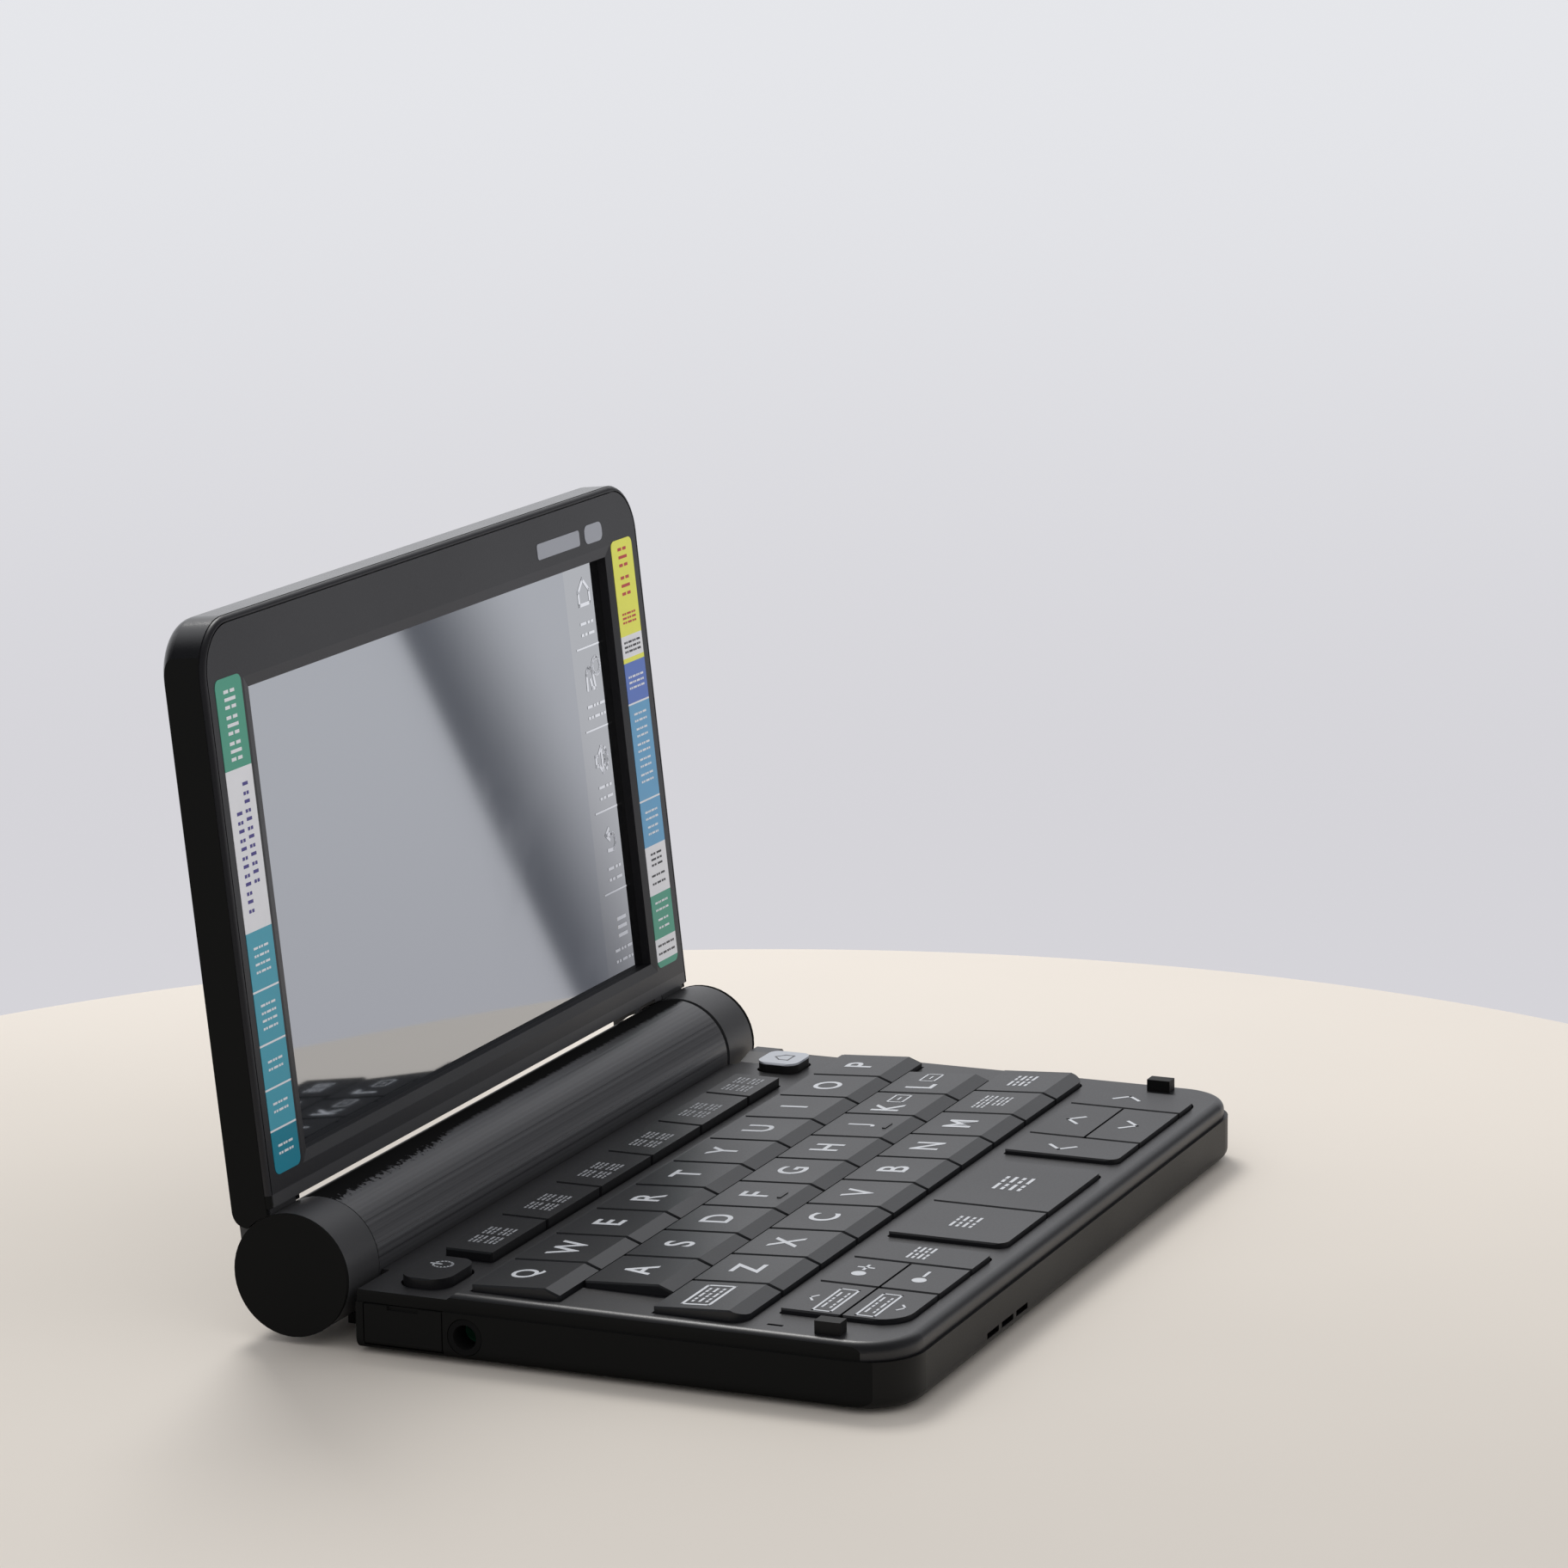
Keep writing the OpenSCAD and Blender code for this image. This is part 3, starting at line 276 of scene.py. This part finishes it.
def moulding(name, colour, roughness, specular=0.45, shade_below=None, low_colour=None):
    """Grained plastic or rubber, uneven in colour and gloss, with painted shade, a flat black
    without gloss, on its ends where it is asked.
    """
    spread = 0.12
    cloud_d, grain_d, grain_depth = 30 * MM, 0.25 * MM, 0.012 * MM
    cloud_gloss, grain_gloss = 0.12, 0.10
    finish = Finish(bpy.data.materials.new(name))
    point, (along, _, up) = finish.place()
    cloud = finish.noise(point, cloud_d, 3.0)
    grain = finish.noise(point, grain_d, 1.0)
    deep, pale = (tuple(value * share for value in colour[:3]) + (1.0,)
                  for share in (1 - spread, 1 + spread))
    tint = finish.mix(cloud, deep, pale)
    if low_colour:
        tint = finish.mix(up < knuckle_top, tint, low_colour)
    roughness = (cloud - 0.5) * cloud_gloss + (grain - 0.5) * grain_gloss + roughness
    shader = finish.gloss(Base_Color=tint, Roughness=roughness, Specular_IOR_Level=specular,
                          Normal=finish.bump(grain, grain_depth, 0.5))
    if shade_below:
        # Painted shade: below this height, the end faces are a flat black without gloss.
        shaded_end = (along.math("ABSOLUTE", along) > end_x) * (up < shade_below)
        painted_black = finish.node("ShaderNodeBsdfDiffuse", None, [end_shade_black])
        shader = finish.node("ShaderNodeMixShader", None, [shaded_end, shader, painted_black])
    return finish.end(shader)


end_x = 73.2 * MM
knuckle_top, lid_top = 22 * MM, 150 * MM
# The flat black of the painted shade on the shells' end faces.
end_shade_black = (0.011, 0.011, 0.0105, 1)
dress(moulding("case_black", (0.004, 0.004, 0.0038, 1), 0.42, 0.22, shade_below=knuckle_top),
      "lower_case", "port_cover")
dress(moulding("deck_grey", (0.0115, 0.0115, 0.013, 1), 0.38, 0.55, shade_below=knuckle_top),
      "upper_case")
dress(moulding("frame_grey", (0.0125, 0.0122, 0.0145, 1), 0.40, shade_below=knuckle_top,
               low_colour=(0.046, 0.046, 0.048, 1)), "lid_frame")
dress(moulding("cover_grey", (0.006, 0.006, 0.007, 1), 0.20, 1.0, shade_below=lid_top),
      "lid_back_cover")


# ---- Keys ----
# Each cap is a small moulding. The letter keys and the front cluster are about as dark a grey as
# the deck, the function strip and the power key are darker, and the home key has a light top.
low_row = ["shift", "z", "x", "c", "v", "b", "n", "m", "space", "delete"]
letter_rows = [list("qwertyuiop"), list("asdfghjkl"), low_row]
letter_keys = ["key_" + name for row in letter_rows for name in row]
front_keys = ["key_" + name for name in ("page_up", "page_down", "size_up", "size_down", "jump",
                                         "back", "enter", "left", "up", "down", "right")]
dress(moulding("letter_key_grey", (0.0105, 0.011, 0.0125, 1), 0.36), *letter_keys)
dress(moulding("front_key_grey", (0.0115, 0.0115, 0.013, 1), 0.36), *front_keys)
dress(moulding("strip_key_grey", (0.008, 0.008, 0.009, 1), 0.38), "function_keys", "key_power")

home_side, home_top = (0.012, 0.012, 0.012, 1), (0.46, 0.485, 0.525, 1)
home_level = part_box("key_home")[1].z - 0.35 * MM
home = Finish(bpy.data.materials.new("home_key_light"))
point, (_, _, up) = home.place()
shader = home.gloss(Base_Color=home.mix(up > home_level, home_side, home_top),
                    Roughness=(home.noise(point, 0.3 * MM) - 0.5) * 0.1 + 0.4)
dress(home.end(shader), "key_home")


# ---- Barrel and battery cover ----
# The barrel is plastic with fine ribs along its length, which catch the light as streaks. Under
# the lid's edge it carries a painted reflection of the lid's dark underside: flat black shade with
# a ragged border. The battery cover goes on with the ribs.
hinge = next(joint for joint in frame["record"]["behaviour"]["joints"]
             if joint["name"] == "lid_hinge")
_, axis_y, axis_z = hinge["pos_m"]
rib_count = 66
rib_height = 0.03 * MM
streaks_round = 3.2
lid_edge = math.pi / 2 + 0.12
# From here to the left end, the painted reflection's border is more ragged and reaches higher.
ragged_from, ragged_to = -22 * MM, -32 * MM
barrel_dark, barrel_pale = (0.024, 0.024, 0.026, 1), (0.068, 0.068, 0.072, 1)

ribbed = Finish(bpy.data.materials.new("barrel_grey"))
point, (along, across, up) = ribbed.place()
angle = up.math("ARCTAN2", up - axis_z, across - axis_y)
ribs = angle.math("SINE", angle * rib_count) * 0.5 + 0.5
around = ribbed.node("ShaderNodeCombineXYZ", None, [angle * streaks_round, 0.0, 0.0])
streak = ribbed.noise(around, 1 / 6, 4.0)
fine = ribbed.noise(point, 0.3 * MM)
ragged_border = ribbed.noise(point, 0.8 * MM, 4.0)
left_end = 1 - ribbed.ramp(along, ragged_to, ragged_from)
edge = (ragged_border - 0.5) * (left_end * 0.42 + 0.12) + left_end * 0.12 + lid_edge
# Painted reflection: flat black shade over the barrel's top, up to a ragged edge under the lid.
lid_reflection_shade = ribbed.ramp(edge - angle, -0.05, 0.05) * ribbed.ramp(angle, 1.0, 1.3)
groove = ribbed.ramp(streak, 0.3, 0.7) * 0.8 + ribs * 0.2
height = ribs * 0.5 + streak + fine * 0.2
plastic = ribbed.gloss(Base_Color=ribbed.mix(groove, barrel_dark, barrel_pale),
                       Roughness=(streak - 0.5) * 0.5 + 0.34, Specular_IOR_Level=0.65,
                       Normal=ribbed.bump(height, rib_height, 0.6))
# The flat black of the painted reflection.
painted_black = ribbed.node("ShaderNodeBsdfDiffuse", None, [(0.011, 0.011, 0.011, 1)])
shader = ribbed.node("ShaderNodeMixShader", None, [lid_reflection_shade, plastic, painted_black])
dress(ribbed.end(shader), "battery_barrel", "battery_cover")


# ---- Rubber, metal and the inside ----
# Feet and stoppers are black rubber, screws and pins are steel, and the inside has its usual
# finishes. The earphone socket's collar is black where the board's node comes to the surface.
dress(moulding("black_rubber", (0.006, 0.006, 0.006, 1), 0.6, 0.3), "rubber_pads")
dress(moulding("grey_rubber", (0.02, 0.02, 0.022, 1), 0.6, 0.3), "key_mat")
dress(moulding("speaker_black", (0.02, 0.02, 0.02, 1), 0.5), "speaker")
dress(moulding("display_dark", (0.02, 0.022, 0.025, 1), 0.3), "display_module")


def metal(name, colour, roughness):
    """Steel with fine turning marks."""
    finish = Finish(bpy.data.materials.new(name))
    point, _ = finish.place()
    marks = finish.noise(point, 0.15 * MM)
    return finish.end(finish.gloss(Base_Color=colour, Metallic=1.0,
                                   Roughness=(marks - 0.5) * 0.2 + roughness))


dress(metal("dull_steel", (0.42, 0.42, 0.44, 1), 0.38), "case_screws", "hinge_pins")
dress(metal("spring_steel", (0.62, 0.62, 0.64, 1), 0.3), "battery_contacts", "battery_cells")

collar_depth = 4 * MM
board_green = (0.02, 0.13, 0.07, 1)
board = Finish(bpy.data.materials.new("board_green"))
point, (along, _, _) = board.place()
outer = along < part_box("main_board")[0].x + collar_depth
inside = board.gloss(Base_Color=board_green, Roughness=board.noise(point, MM) * 0.2 + 0.3)
collar = board.node("ShaderNodeBsdfDiffuse", None, [(0.009, 0.009, 0.009, 1)])
shader = board.node("ShaderNodeMixShader", None, [outer, inside, collar])
dress(board.end(shader), "main_board")


# ---- Screen ----
# A resistive touch glass over a switched-off display mirrors the room. The right-hand strip
# carries fixed touch icons, on a print that is a shade lighter.
column_x = 47.8 * MM
glass_tint, column_tint = (0.47, 0.485, 0.51, 1), (0.52, 0.53, 0.545, 1)
screen = Finish(bpy.data.materials.new("touch_glass"))
point, (along, _, _) = screen.place()
smudge = screen.noise(point, 22 * MM, 3.0)
shader = screen.gloss(Base_Color=screen.mix(along > column_x, glass_tint, column_tint),
                      Metallic=1.0, Roughness=screen.ramp(smudge, 0.45, 0.8) * 0.02 + 0.035)
dress(screen.end(shader), "touch_glass")

# ---- Screen icons ----
# Silver outlines printed on the glass: a house, a ball over an arch, a loudspeaker, an arrow back
# and three lines, each over short dashes, with a thin line between one and the next.
lid_open = math.radians(96)
on_lid = Matrix.Translation(hinge["pos_m"]) @ Matrix.Rotation(math.pi - lid_open, 4, "X")
frame_face = -1.9 * MM
glass_face = -3.7 * MM
print_t = 0.04 * MM


def bar(bm, x, y, width, height):
    """A small printed bar about a point, in millimetres across the surface."""
    made = bmesh.ops.create_cube(bm, size=1.0)["verts"]
    bmesh.ops.scale(bm, vec=(width * MM, height * MM, print_t), verts=made)
    bmesh.ops.translate(bm, vec=(x * MM, y * MM, 0), verts=made)
    return made


def stroke(bm, points, width):
    """A printed line through points, in millimetres."""
    for (x0, y0), (x1, y1) in zip(points, points[1:]):
        length = math.hypot(x1 - x0, y1 - y0)
        made = bar(bm, 0, 0, length + width, width)
        place = Matrix.Translation(((x0 + x1) / 2 * MM, (y0 + y1) / 2 * MM, 0))
        turned = place @ Matrix.Rotation(math.atan2(y1 - y0, x1 - x0), 4, "Z")
        bmesh.ops.transform(bm, matrix=turned, verts=made)


def arc(x, y, radius, start, end, steps=14):
    """Points along an arc, with angles in degrees."""
    turns = [math.radians(start + (end - start) * i / steps) for i in range(steps + 1)]
    return [(x + radius * math.cos(t), y + radius * math.sin(t)) for t in turns]


def dashes(bm, x, y, width, height, cells=2, thick=0.34):
    """Close rows of short dashes, which change places from one cell to the next."""
    cell = width / cells
    rows = max(2, round(height / (2 * thick)))
    for i in range(cells):
        middle = x - width / 2 + cell * (i + 0.5)
        for row in range(rows):
            level = y + (row / (rows - 1) - 0.5) * (height - thick)
            if (i + row) % 2:
                bar(bm, middle, level, cell * 0.80, thick)
            else:
                bar(bm, middle - cell * 0.24, level, cell * 0.34, thick)
                bar(bm, middle + cell * 0.22, level, cell * 0.32, thick)


silver_worn, silver_clean = (0.88, 0.89, 0.92, 1), (0.97, 0.98, 1.0, 1)
silver = Finish(bpy.data.materials.new("silver_print"))
point, _ = silver.place()
wear = silver.noise(point, 3 * MM)
shader = silver.gloss(Base_Color=silver.mix(wear, silver_worn, silver_clean), Metallic=1.0,
                      Roughness=wear * 0.04 + 0.05)
silver_print = silver.end(shader)

icon_x = 54.6
icon_w = 0.6
line_x, line_length, line_w = 54.7, 10.0, 0.3
line_pitch = 13.75
first_line = 71.3
caption_rise, caption_h, caption_w = 3.0, 2.3, 0.46
captions = [(5.4, 2), (7.0, 3), (5.4, 2), (5.4, 2), (7.0, 3)]
bm = bmesh.new()
for i in range(4):
    bar(bm, line_x, first_line - i * line_pitch, line_length, line_w)
for i, (width, cells) in enumerate(captions):
    level = first_line + caption_rise - i * line_pitch
    dashes(bm, icon_x, level, width, caption_h, cells, caption_w)

# Each icon is placed by the level of its foot, from the house at the top down.
left, right = icon_x - 2, icon_x + 2
foot = first_line + 7
stroke(bm, [(left, foot), (left, foot + 2.2), (icon_x, foot + 4.1), (right, foot + 2.2),
            (right, foot), (left, foot)], icon_w)
foot -= line_pitch
stroke(bm, arc(icon_x + 1.6, foot + 3.2, 1.4, 0, 360), icon_w)
stroke(bm, [(left - 0.4, foot - 0.2), *arc(icon_x - 1.1, foot + 2.0, 1.2, 170, 10, 8),
            (icon_x + 0.6, foot - 0.4), (icon_x - 0.6, foot - 0.2), (icon_x - 1.0, foot + 1.2)],
       icon_w)
foot -= line_pitch
stroke(bm, [(left - 0.4, foot + 0.6), (left + 0.6, foot + 0.6), (icon_x - 0.1, foot - 0.7),
            (icon_x - 0.1, foot + 3.5), (left + 0.6, foot + 2.2), (left - 0.4, foot + 2.2),
            (left - 0.4, foot + 0.6)], icon_w)
for reach in (1.2, 2.2):
    stroke(bm, arc(icon_x - 0.1, foot + 1.4, reach, -50, 50, 8), icon_w)
foot -= line_pitch
stroke(bm, [(left + 0.4, foot), *arc(icon_x, foot + 1.2, 1.4, -70, 90, 9),
            (left + 0.2, foot + 2.6)], icon_w)
stroke(bm, [(icon_x - 0.8, foot + 3.5), (left + 0.1, foot + 2.6), (icon_x - 0.8, foot + 1.7)],
       icon_w)
foot -= line_pitch
for i in range(3):
    bar(bm, icon_x + 0.4, foot + 2 - 1.4 * i, 3.4, icon_w)
on_glass = on_lid @ Matrix.Translation((0, 0, glass_face + print_t / 2))
icons = show("screen_icons", to_mesh("screen_icons", bm, on_glass), silver_print)
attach(icons, "lid")

# ---- Labels on the lid's frame ----
# Two long paper labels in coloured bands, and two small grey plates, are stuck to the frame.
# Short dashes are printed on the labels' bands.
label_t = 0.06 * MM


def paper(name, colour):
    """Glossy printed paper with a little mottle."""
    finish = Finish(bpy.data.materials.new(name))
    point, _ = finish.place()
    mottle = finish.noise(point, 4 * MM, 4.0)
    deep = tuple(value * 0.9 for value in colour[:3]) + (1.0,)
    tint = finish.mix(mottle, deep, colour)
    return finish.end(finish.gloss(Base_Color=tint, Roughness=mottle * 0.1 + 0.35))


papers = {
    "green": paper("label_green", rgb(74, 164, 136)),
    "white": paper("label_white", rgb(242, 242, 245)),
    "teal": paper("label_teal", rgb(72, 168, 190)),
    "deep_teal": paper("label_deep_teal", rgb(8, 136, 160)),
    "yellow": paper("label_yellow", rgb(248, 248, 92)),
    "navy": paper("label_navy", rgb(92, 124, 206)),
    "blue": paper("label_blue", rgb(104, 172, 216)),
    "grey": paper("plate_grey", rgb(166, 169, 177)),
    "purple_ink": paper("purple_ink", rgb(70, 60, 140)),
    "red_ink": paper("red_ink", rgb(200, 60, 60)),
    "black_ink": paper("black_ink", rgb(50, 50, 55)),
}


def label(name, x0, x1, edges, colours, radius):
    """A thin plate up the frame, cut into coloured bands at the given heights, top first."""
    bm = bmesh.new()
    bmesh.ops.create_grid(bm, x_segments=1, y_segments=1, size=0.5)
    width, height = (x1 - x0) * MM, (edges[0] - edges[-1]) * MM
    bmesh.ops.scale(bm, vec=(width, height, 1), verts=bm.verts[:])
    middle = ((x0 + x1) / 2 * MM, (edges[0] + edges[-1]) / 2 * MM, 0)
    bmesh.ops.translate(bm, vec=middle, verts=bm.verts[:])
    bmesh.ops.bevel(bm, geom=bm.verts[:], offset=radius * MM, segments=5, profile=0.5,
                    affect="VERTICES", material=-1)
    for edge in edges[1:-1]:
        bmesh.ops.bisect_plane(bm, geom=bm.verts[:] + bm.edges[:] + bm.faces[:],
                               plane_co=(0, edge * MM, 0), plane_no=(0, 1, 0))
    names = list(dict.fromkeys(colours))
    for face in bm.faces:
        height = face.calc_center_median().y / MM
        band = sum(height < edge for edge in edges[1:-1])
        face.material_index = names.index(colours[band])
    raised = bmesh.ops.extrude_face_region(bm, geom=bm.faces[:], use_keep_orig=True)["geom"]
    bmesh.ops.translate(bm, vec=(0, 0, label_t),
                        verts=[item for item in raised if isinstance(item, bmesh.types.BMVert)])
    mesh = to_mesh(name, bm, on_lid @ Matrix.Translation((0, 0, frame_face)))
    piece = show(name, mesh, papers[names[0]])
    for other in names[1:]:
        mesh.materials.append(papers[other])
    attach(piece, "lid")


def words(name, colour, places):
    """Printed dashes on a label: across, height up the lid, width, height and number of cells."""
    ink_sink = print_t / 4
    bm = bmesh.new()
    for x, y, width, height, cells in places:
        dashes(bm, x, y, width, height, cells, 0.5 if cells == 1 else 0.34)
    on_label = on_lid @ Matrix.Translation((0, 0, frame_face + label_t + ink_sink))
    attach(show(name, to_mesh(name, bm, on_label), papers[colour]), "lid")


left_x = (-71.25, -63.55)
left_mid = sum(left_x) / 2
label("left_label", *left_x,
      [87.6, 74.2, 50.3, 41.7, 41.4, 33.7, 33.4, 27.1, 26.8, 21.0, 20.7, 14.3],
      ["green", "white", "teal", "white", "teal", "white", "teal", "white", "teal", "white",
       "deep_teal"], 1.2)
words("left_label_white_words", "white",
      [(left_mid, 84.4 - 3.8 * i, 4.0, 2.8, 1) for i in range(3)]
      + [(left_mid, y, 4.6, 1.5, 3) for y in (47.2, 44.8, 38.7, 36.4, 30.3, 24.0, 17.8)])
words("left_label_purple_words", "purple_ink",
      [(left_mid + 1.3, 71 - 2.6 * i, 1.9, 1.9, 1) for i in range(6)]
      + [(left_mid - 1.3, 67 - 2.6 * i, 1.9, 1.9, 1) for i in range(6)])

right_x = (63.05, 71.05)
right_mid = sum(right_x) / 2
label("right_label", *right_x,
      [87.2, 71.1, 67.4, 66.6, 59.8, 59.5, 43.2, 42.9, 35.2, 26.9, 19.4, 15.6, 14.5],
      ["yellow", "white", "yellow", "navy", "white", "blue", "white", "blue", "white", "green",
       "white", "green"], 1.2)
words("right_label_red_words", "red_ink",
      [(right_mid, 84.2, 4.0, 3.2, 1), (right_mid, 79.4, 4.0, 3.2, 1),
       (right_mid, 74.0, 5.4, 1.8, 3)])
words("right_label_black_words", "black_ink",
      [(right_mid, 69.2, 6.4, 1.9, 4), (right_mid, 32.8, 4.6, 2.2, 2),
       (right_mid, 29.4, 5.4, 1.7, 3), (right_mid, 17.5, 6.6, 1.7, 4)])
words("right_label_white_words", "white",
      [(right_mid, 63.2, 6.0, 2.2, 4), (right_mid, 40.4, 5.0, 1.5, 4),
       (right_mid, 37.8, 4.2, 1.5, 3), (right_mid, 24.8, 5.2, 1.6, 4),
       (right_mid, 21.8, 4.4, 1.7, 2)]
      + [(right_mid, 57.2 - 2.6 * i, 5.0 - 0.5 * (i % 2), 1.5, 3) for i in range(5)])
label("long_plate", 35.95, 51.75, [91.0, 88.4], ["grey"], 0.5)
label("round_plate", 53.75, 60.35, [91.3, 88.2], ["grey"], 1.2)


# ---- Key legends ----
# Letters, arrows, signs and short dashes are pad-printed on the keys: in pale ink on most, in a
# dimmer one on the function strip and in grey on the light home key.
letter_h = 4.7
letter_slope = 2.3 * MM
letter_fall = 0.7 * MM
ink_rise = 0.012 * MM


def letter(bm, sign, x, y, height):
    """One raised letter with its middle at a point, in millimetres."""
    bold = 0.012
    curve = bpy.data.curves.new("sign", "FONT")
    curve.body = sign
    curve.extrude = print_t / MM / 2
    curve.offset = bold
    holder = bpy.data.objects.new("sign", curve)
    mesh = bpy.data.meshes.new_from_object(holder)
    before = set(bm.verts)
    bm.from_mesh(mesh)
    made = [vert for vert in bm.verts if vert not in before]
    low = Vector(map(min, *(vert.co for vert in made)))
    high = Vector(map(max, *(vert.co for vert in made)))
    size = height * MM / (high.y - low.y)
    bmesh.ops.translate(bm, vec=(-(low.x + high.x) / 2, -(low.y + high.y) / 2, 0), verts=made)
    bmesh.ops.scale(bm, vec=(size, size, MM), verts=made)
    bmesh.ops.translate(bm, vec=(x * MM, y * MM, 0), verts=made)
    bpy.data.objects.remove(holder)


def box_frame(bm, x, y, width, height, line=0.3):
    """A printed rectangular frame."""
    left, right, low, high = x - width / 2, x + width / 2, y - height / 2, y + height / 2
    stroke(bm, [(left, low), (right, low), (right, high), (left, high), (left, low)], line)


def cap_top(name, sloped=False):
    """Where a key's legend goes: the middle of its top, turned with its slope."""
    low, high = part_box(name)
    x = (low.x + high.x) / 2
    if not sloped:
        return Matrix.Translation((x, (low.y + high.y) / 2, high.z + ink_rise))
    crest_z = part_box("key_q")[1].z
    crest = Vector((x, low.y + letter_slope, crest_z))
    back = Vector((x, high.y, crest_z - letter_fall))
    tilt = math.atan2(back.z - crest.z, back.y - crest.y)
    return (Matrix.Translation((crest + back) / 2) @ Matrix.Rotation(tilt, 4, "X")
            @ Matrix.Translation((0, 0, ink_rise)))


def arrow(bm, x, y, turn, size):
    """An open arrowhead about a point, which points up at a turn of 0, in degrees."""
    ends = [(-size, -size / 2), (0, size / 2), (size, -size / 2)]
    cos, sin = math.cos(math.radians(turn)), math.sin(math.radians(turn))
    stroke(bm, [(x + u * cos - v * sin, y + u * sin + v * cos) for u, v in ends], 0.55)


def legend_for(name, bm):
    """Draws one key's legend about its middle."""
    sign = name.removeprefix("key_")
    if len(sign) == 1:
        framed = {"k": -2.7, "l": -2.5}
        letter(bm, sign.upper(), framed.get(sign, 0), 0.2, letter_h)
        if sign in framed:
            box_frame(bm, 3.1, 0.6, 4.4, 2.6)
            stroke(bm, [(2.4, 0.6), (3.8, 0.6)], 0.3)
    elif sign == "shift":
        box_frame(bm, 0, 0.2, 9.4, 4.2, 0.45)
        dashes(bm, 0, 0.2, 7.4, 2.6, 3, 0.4)
    elif sign == "space":
        dashes(bm, 0, 1.4, 8.0, 2.0, 4)
        dashes(bm, 0.6, -1.4, 5.6, 2.0, 3)
    elif sign == "delete":
        dashes(bm, 0, 0.2, 7.0, 3.4, 2, 0.45)
    elif sign in ("left", "right", "up", "down"):
        turn, dx = {"up": (0, 0), "left": (90, -1.2), "down": (180, 0), "right": (270, 0.6)}[sign]
        arrow(bm, dx, 1.4 if sign in ("left", "right") else 0.3, turn, 2.1)
    elif sign in ("page_up", "page_down"):
        way = 1 if sign == "page_up" else -1
        box_frame(bm, -0.7, -1.4 * way, 10.6, 2.8, 0.35)
        dashes(bm, -0.7, -1.4 * way, 8.0, 1.6, 3)
        stroke(bm, [(-1.9, 1.8 * way), (-0.7, 2.6 * way), (0.5, 1.8 * way)], 0.35)
    elif sign in ("size_up", "size_down"):
        bmesh.ops.create_circle(bm, cap_ends=True, segments=24, radius=1.1 * MM,
                                matrix=Matrix.Translation((-1.1 * MM, 0.6 * MM, 0)))
        stroke(bm, [(0.8, 0.6), (3.0, 0.6)], 0.45)
        if sign == "size_up":
            stroke(bm, [(1.9, -0.5), (1.9, 1.7)], 0.45)
    elif sign == "jump":
        dashes(bm, 0.4, 0.5, 6.2, 3.0, 2, 0.4)
    elif sign == "back":
        dashes(bm, 0, 0.3, 6.0, 3.6, 2, 0.45)
    elif sign == "enter":
        dashes(bm, 0.4, 1.0, 7.9, 4.6, 2, 0.55)
    elif sign == "power":
        stroke(bm, arc(1.8, 0, 1.45, 115, 425), 0.32)
        stroke(bm, [(1.8, 0.3), (1.8, 1.9)], 0.32)
    elif sign == "home":
        stroke(bm, [(-1.5, -1.3), (-1.5, 0.3), (0, 1.5), (1.5, 0.3), (1.5, -1.3), (-1.5, -1.3)],
               0.25)


# The inks take on the grain of the plastic under them.
ink = moulding("pale_ink", (0.58, 0.60, 0.63, 1), 0.5)
grey_ink = moulding("grey_ink", (0.10, 0.105, 0.115, 1), 0.5)
for key in letter_keys + front_keys + ["key_power", "key_home"]:
    bm = bmesh.new()
    legend_for(key, bm)
    mesh = to_mesh(key + "_legend", bm, cap_top(key, key in letter_keys))
    legend = show(key + "_legend", mesh, grey_ink if key == "key_home" else ink)
    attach(legend, key)

# The function strip's six keys lie in one node, so their dashes are spaced along its box. The
# last key is the shortest.
strip_low, strip_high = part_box("function_keys")
strip_pitch, strip_middle, last_middle = 18.9, 8.15, 6.35
row_rise, word_w, word_h, word_gap = 1.3, 3.8, 1.8, 0.8
bm = bmesh.new()
for i in range(6):
    middle = i * strip_pitch + (strip_middle if i < 5 else last_middle)
    for row in (-1, 1):
        for half in (-1, 1):
            x = middle + half * (word_w + word_gap) / 2
            dashes(bm, x, row * row_rise, word_w, word_h)
strip_y = (strip_low.y + strip_high.y) / 2
start = Matrix.Translation((strip_low.x, strip_y, strip_high.z + ink_rise))
dim_ink = moulding("dim_ink", (0.34, 0.35, 0.37, 1), 0.5)
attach(show("function_legends", to_mesh("function_legends", bm, start), dim_ink), "function_keys")
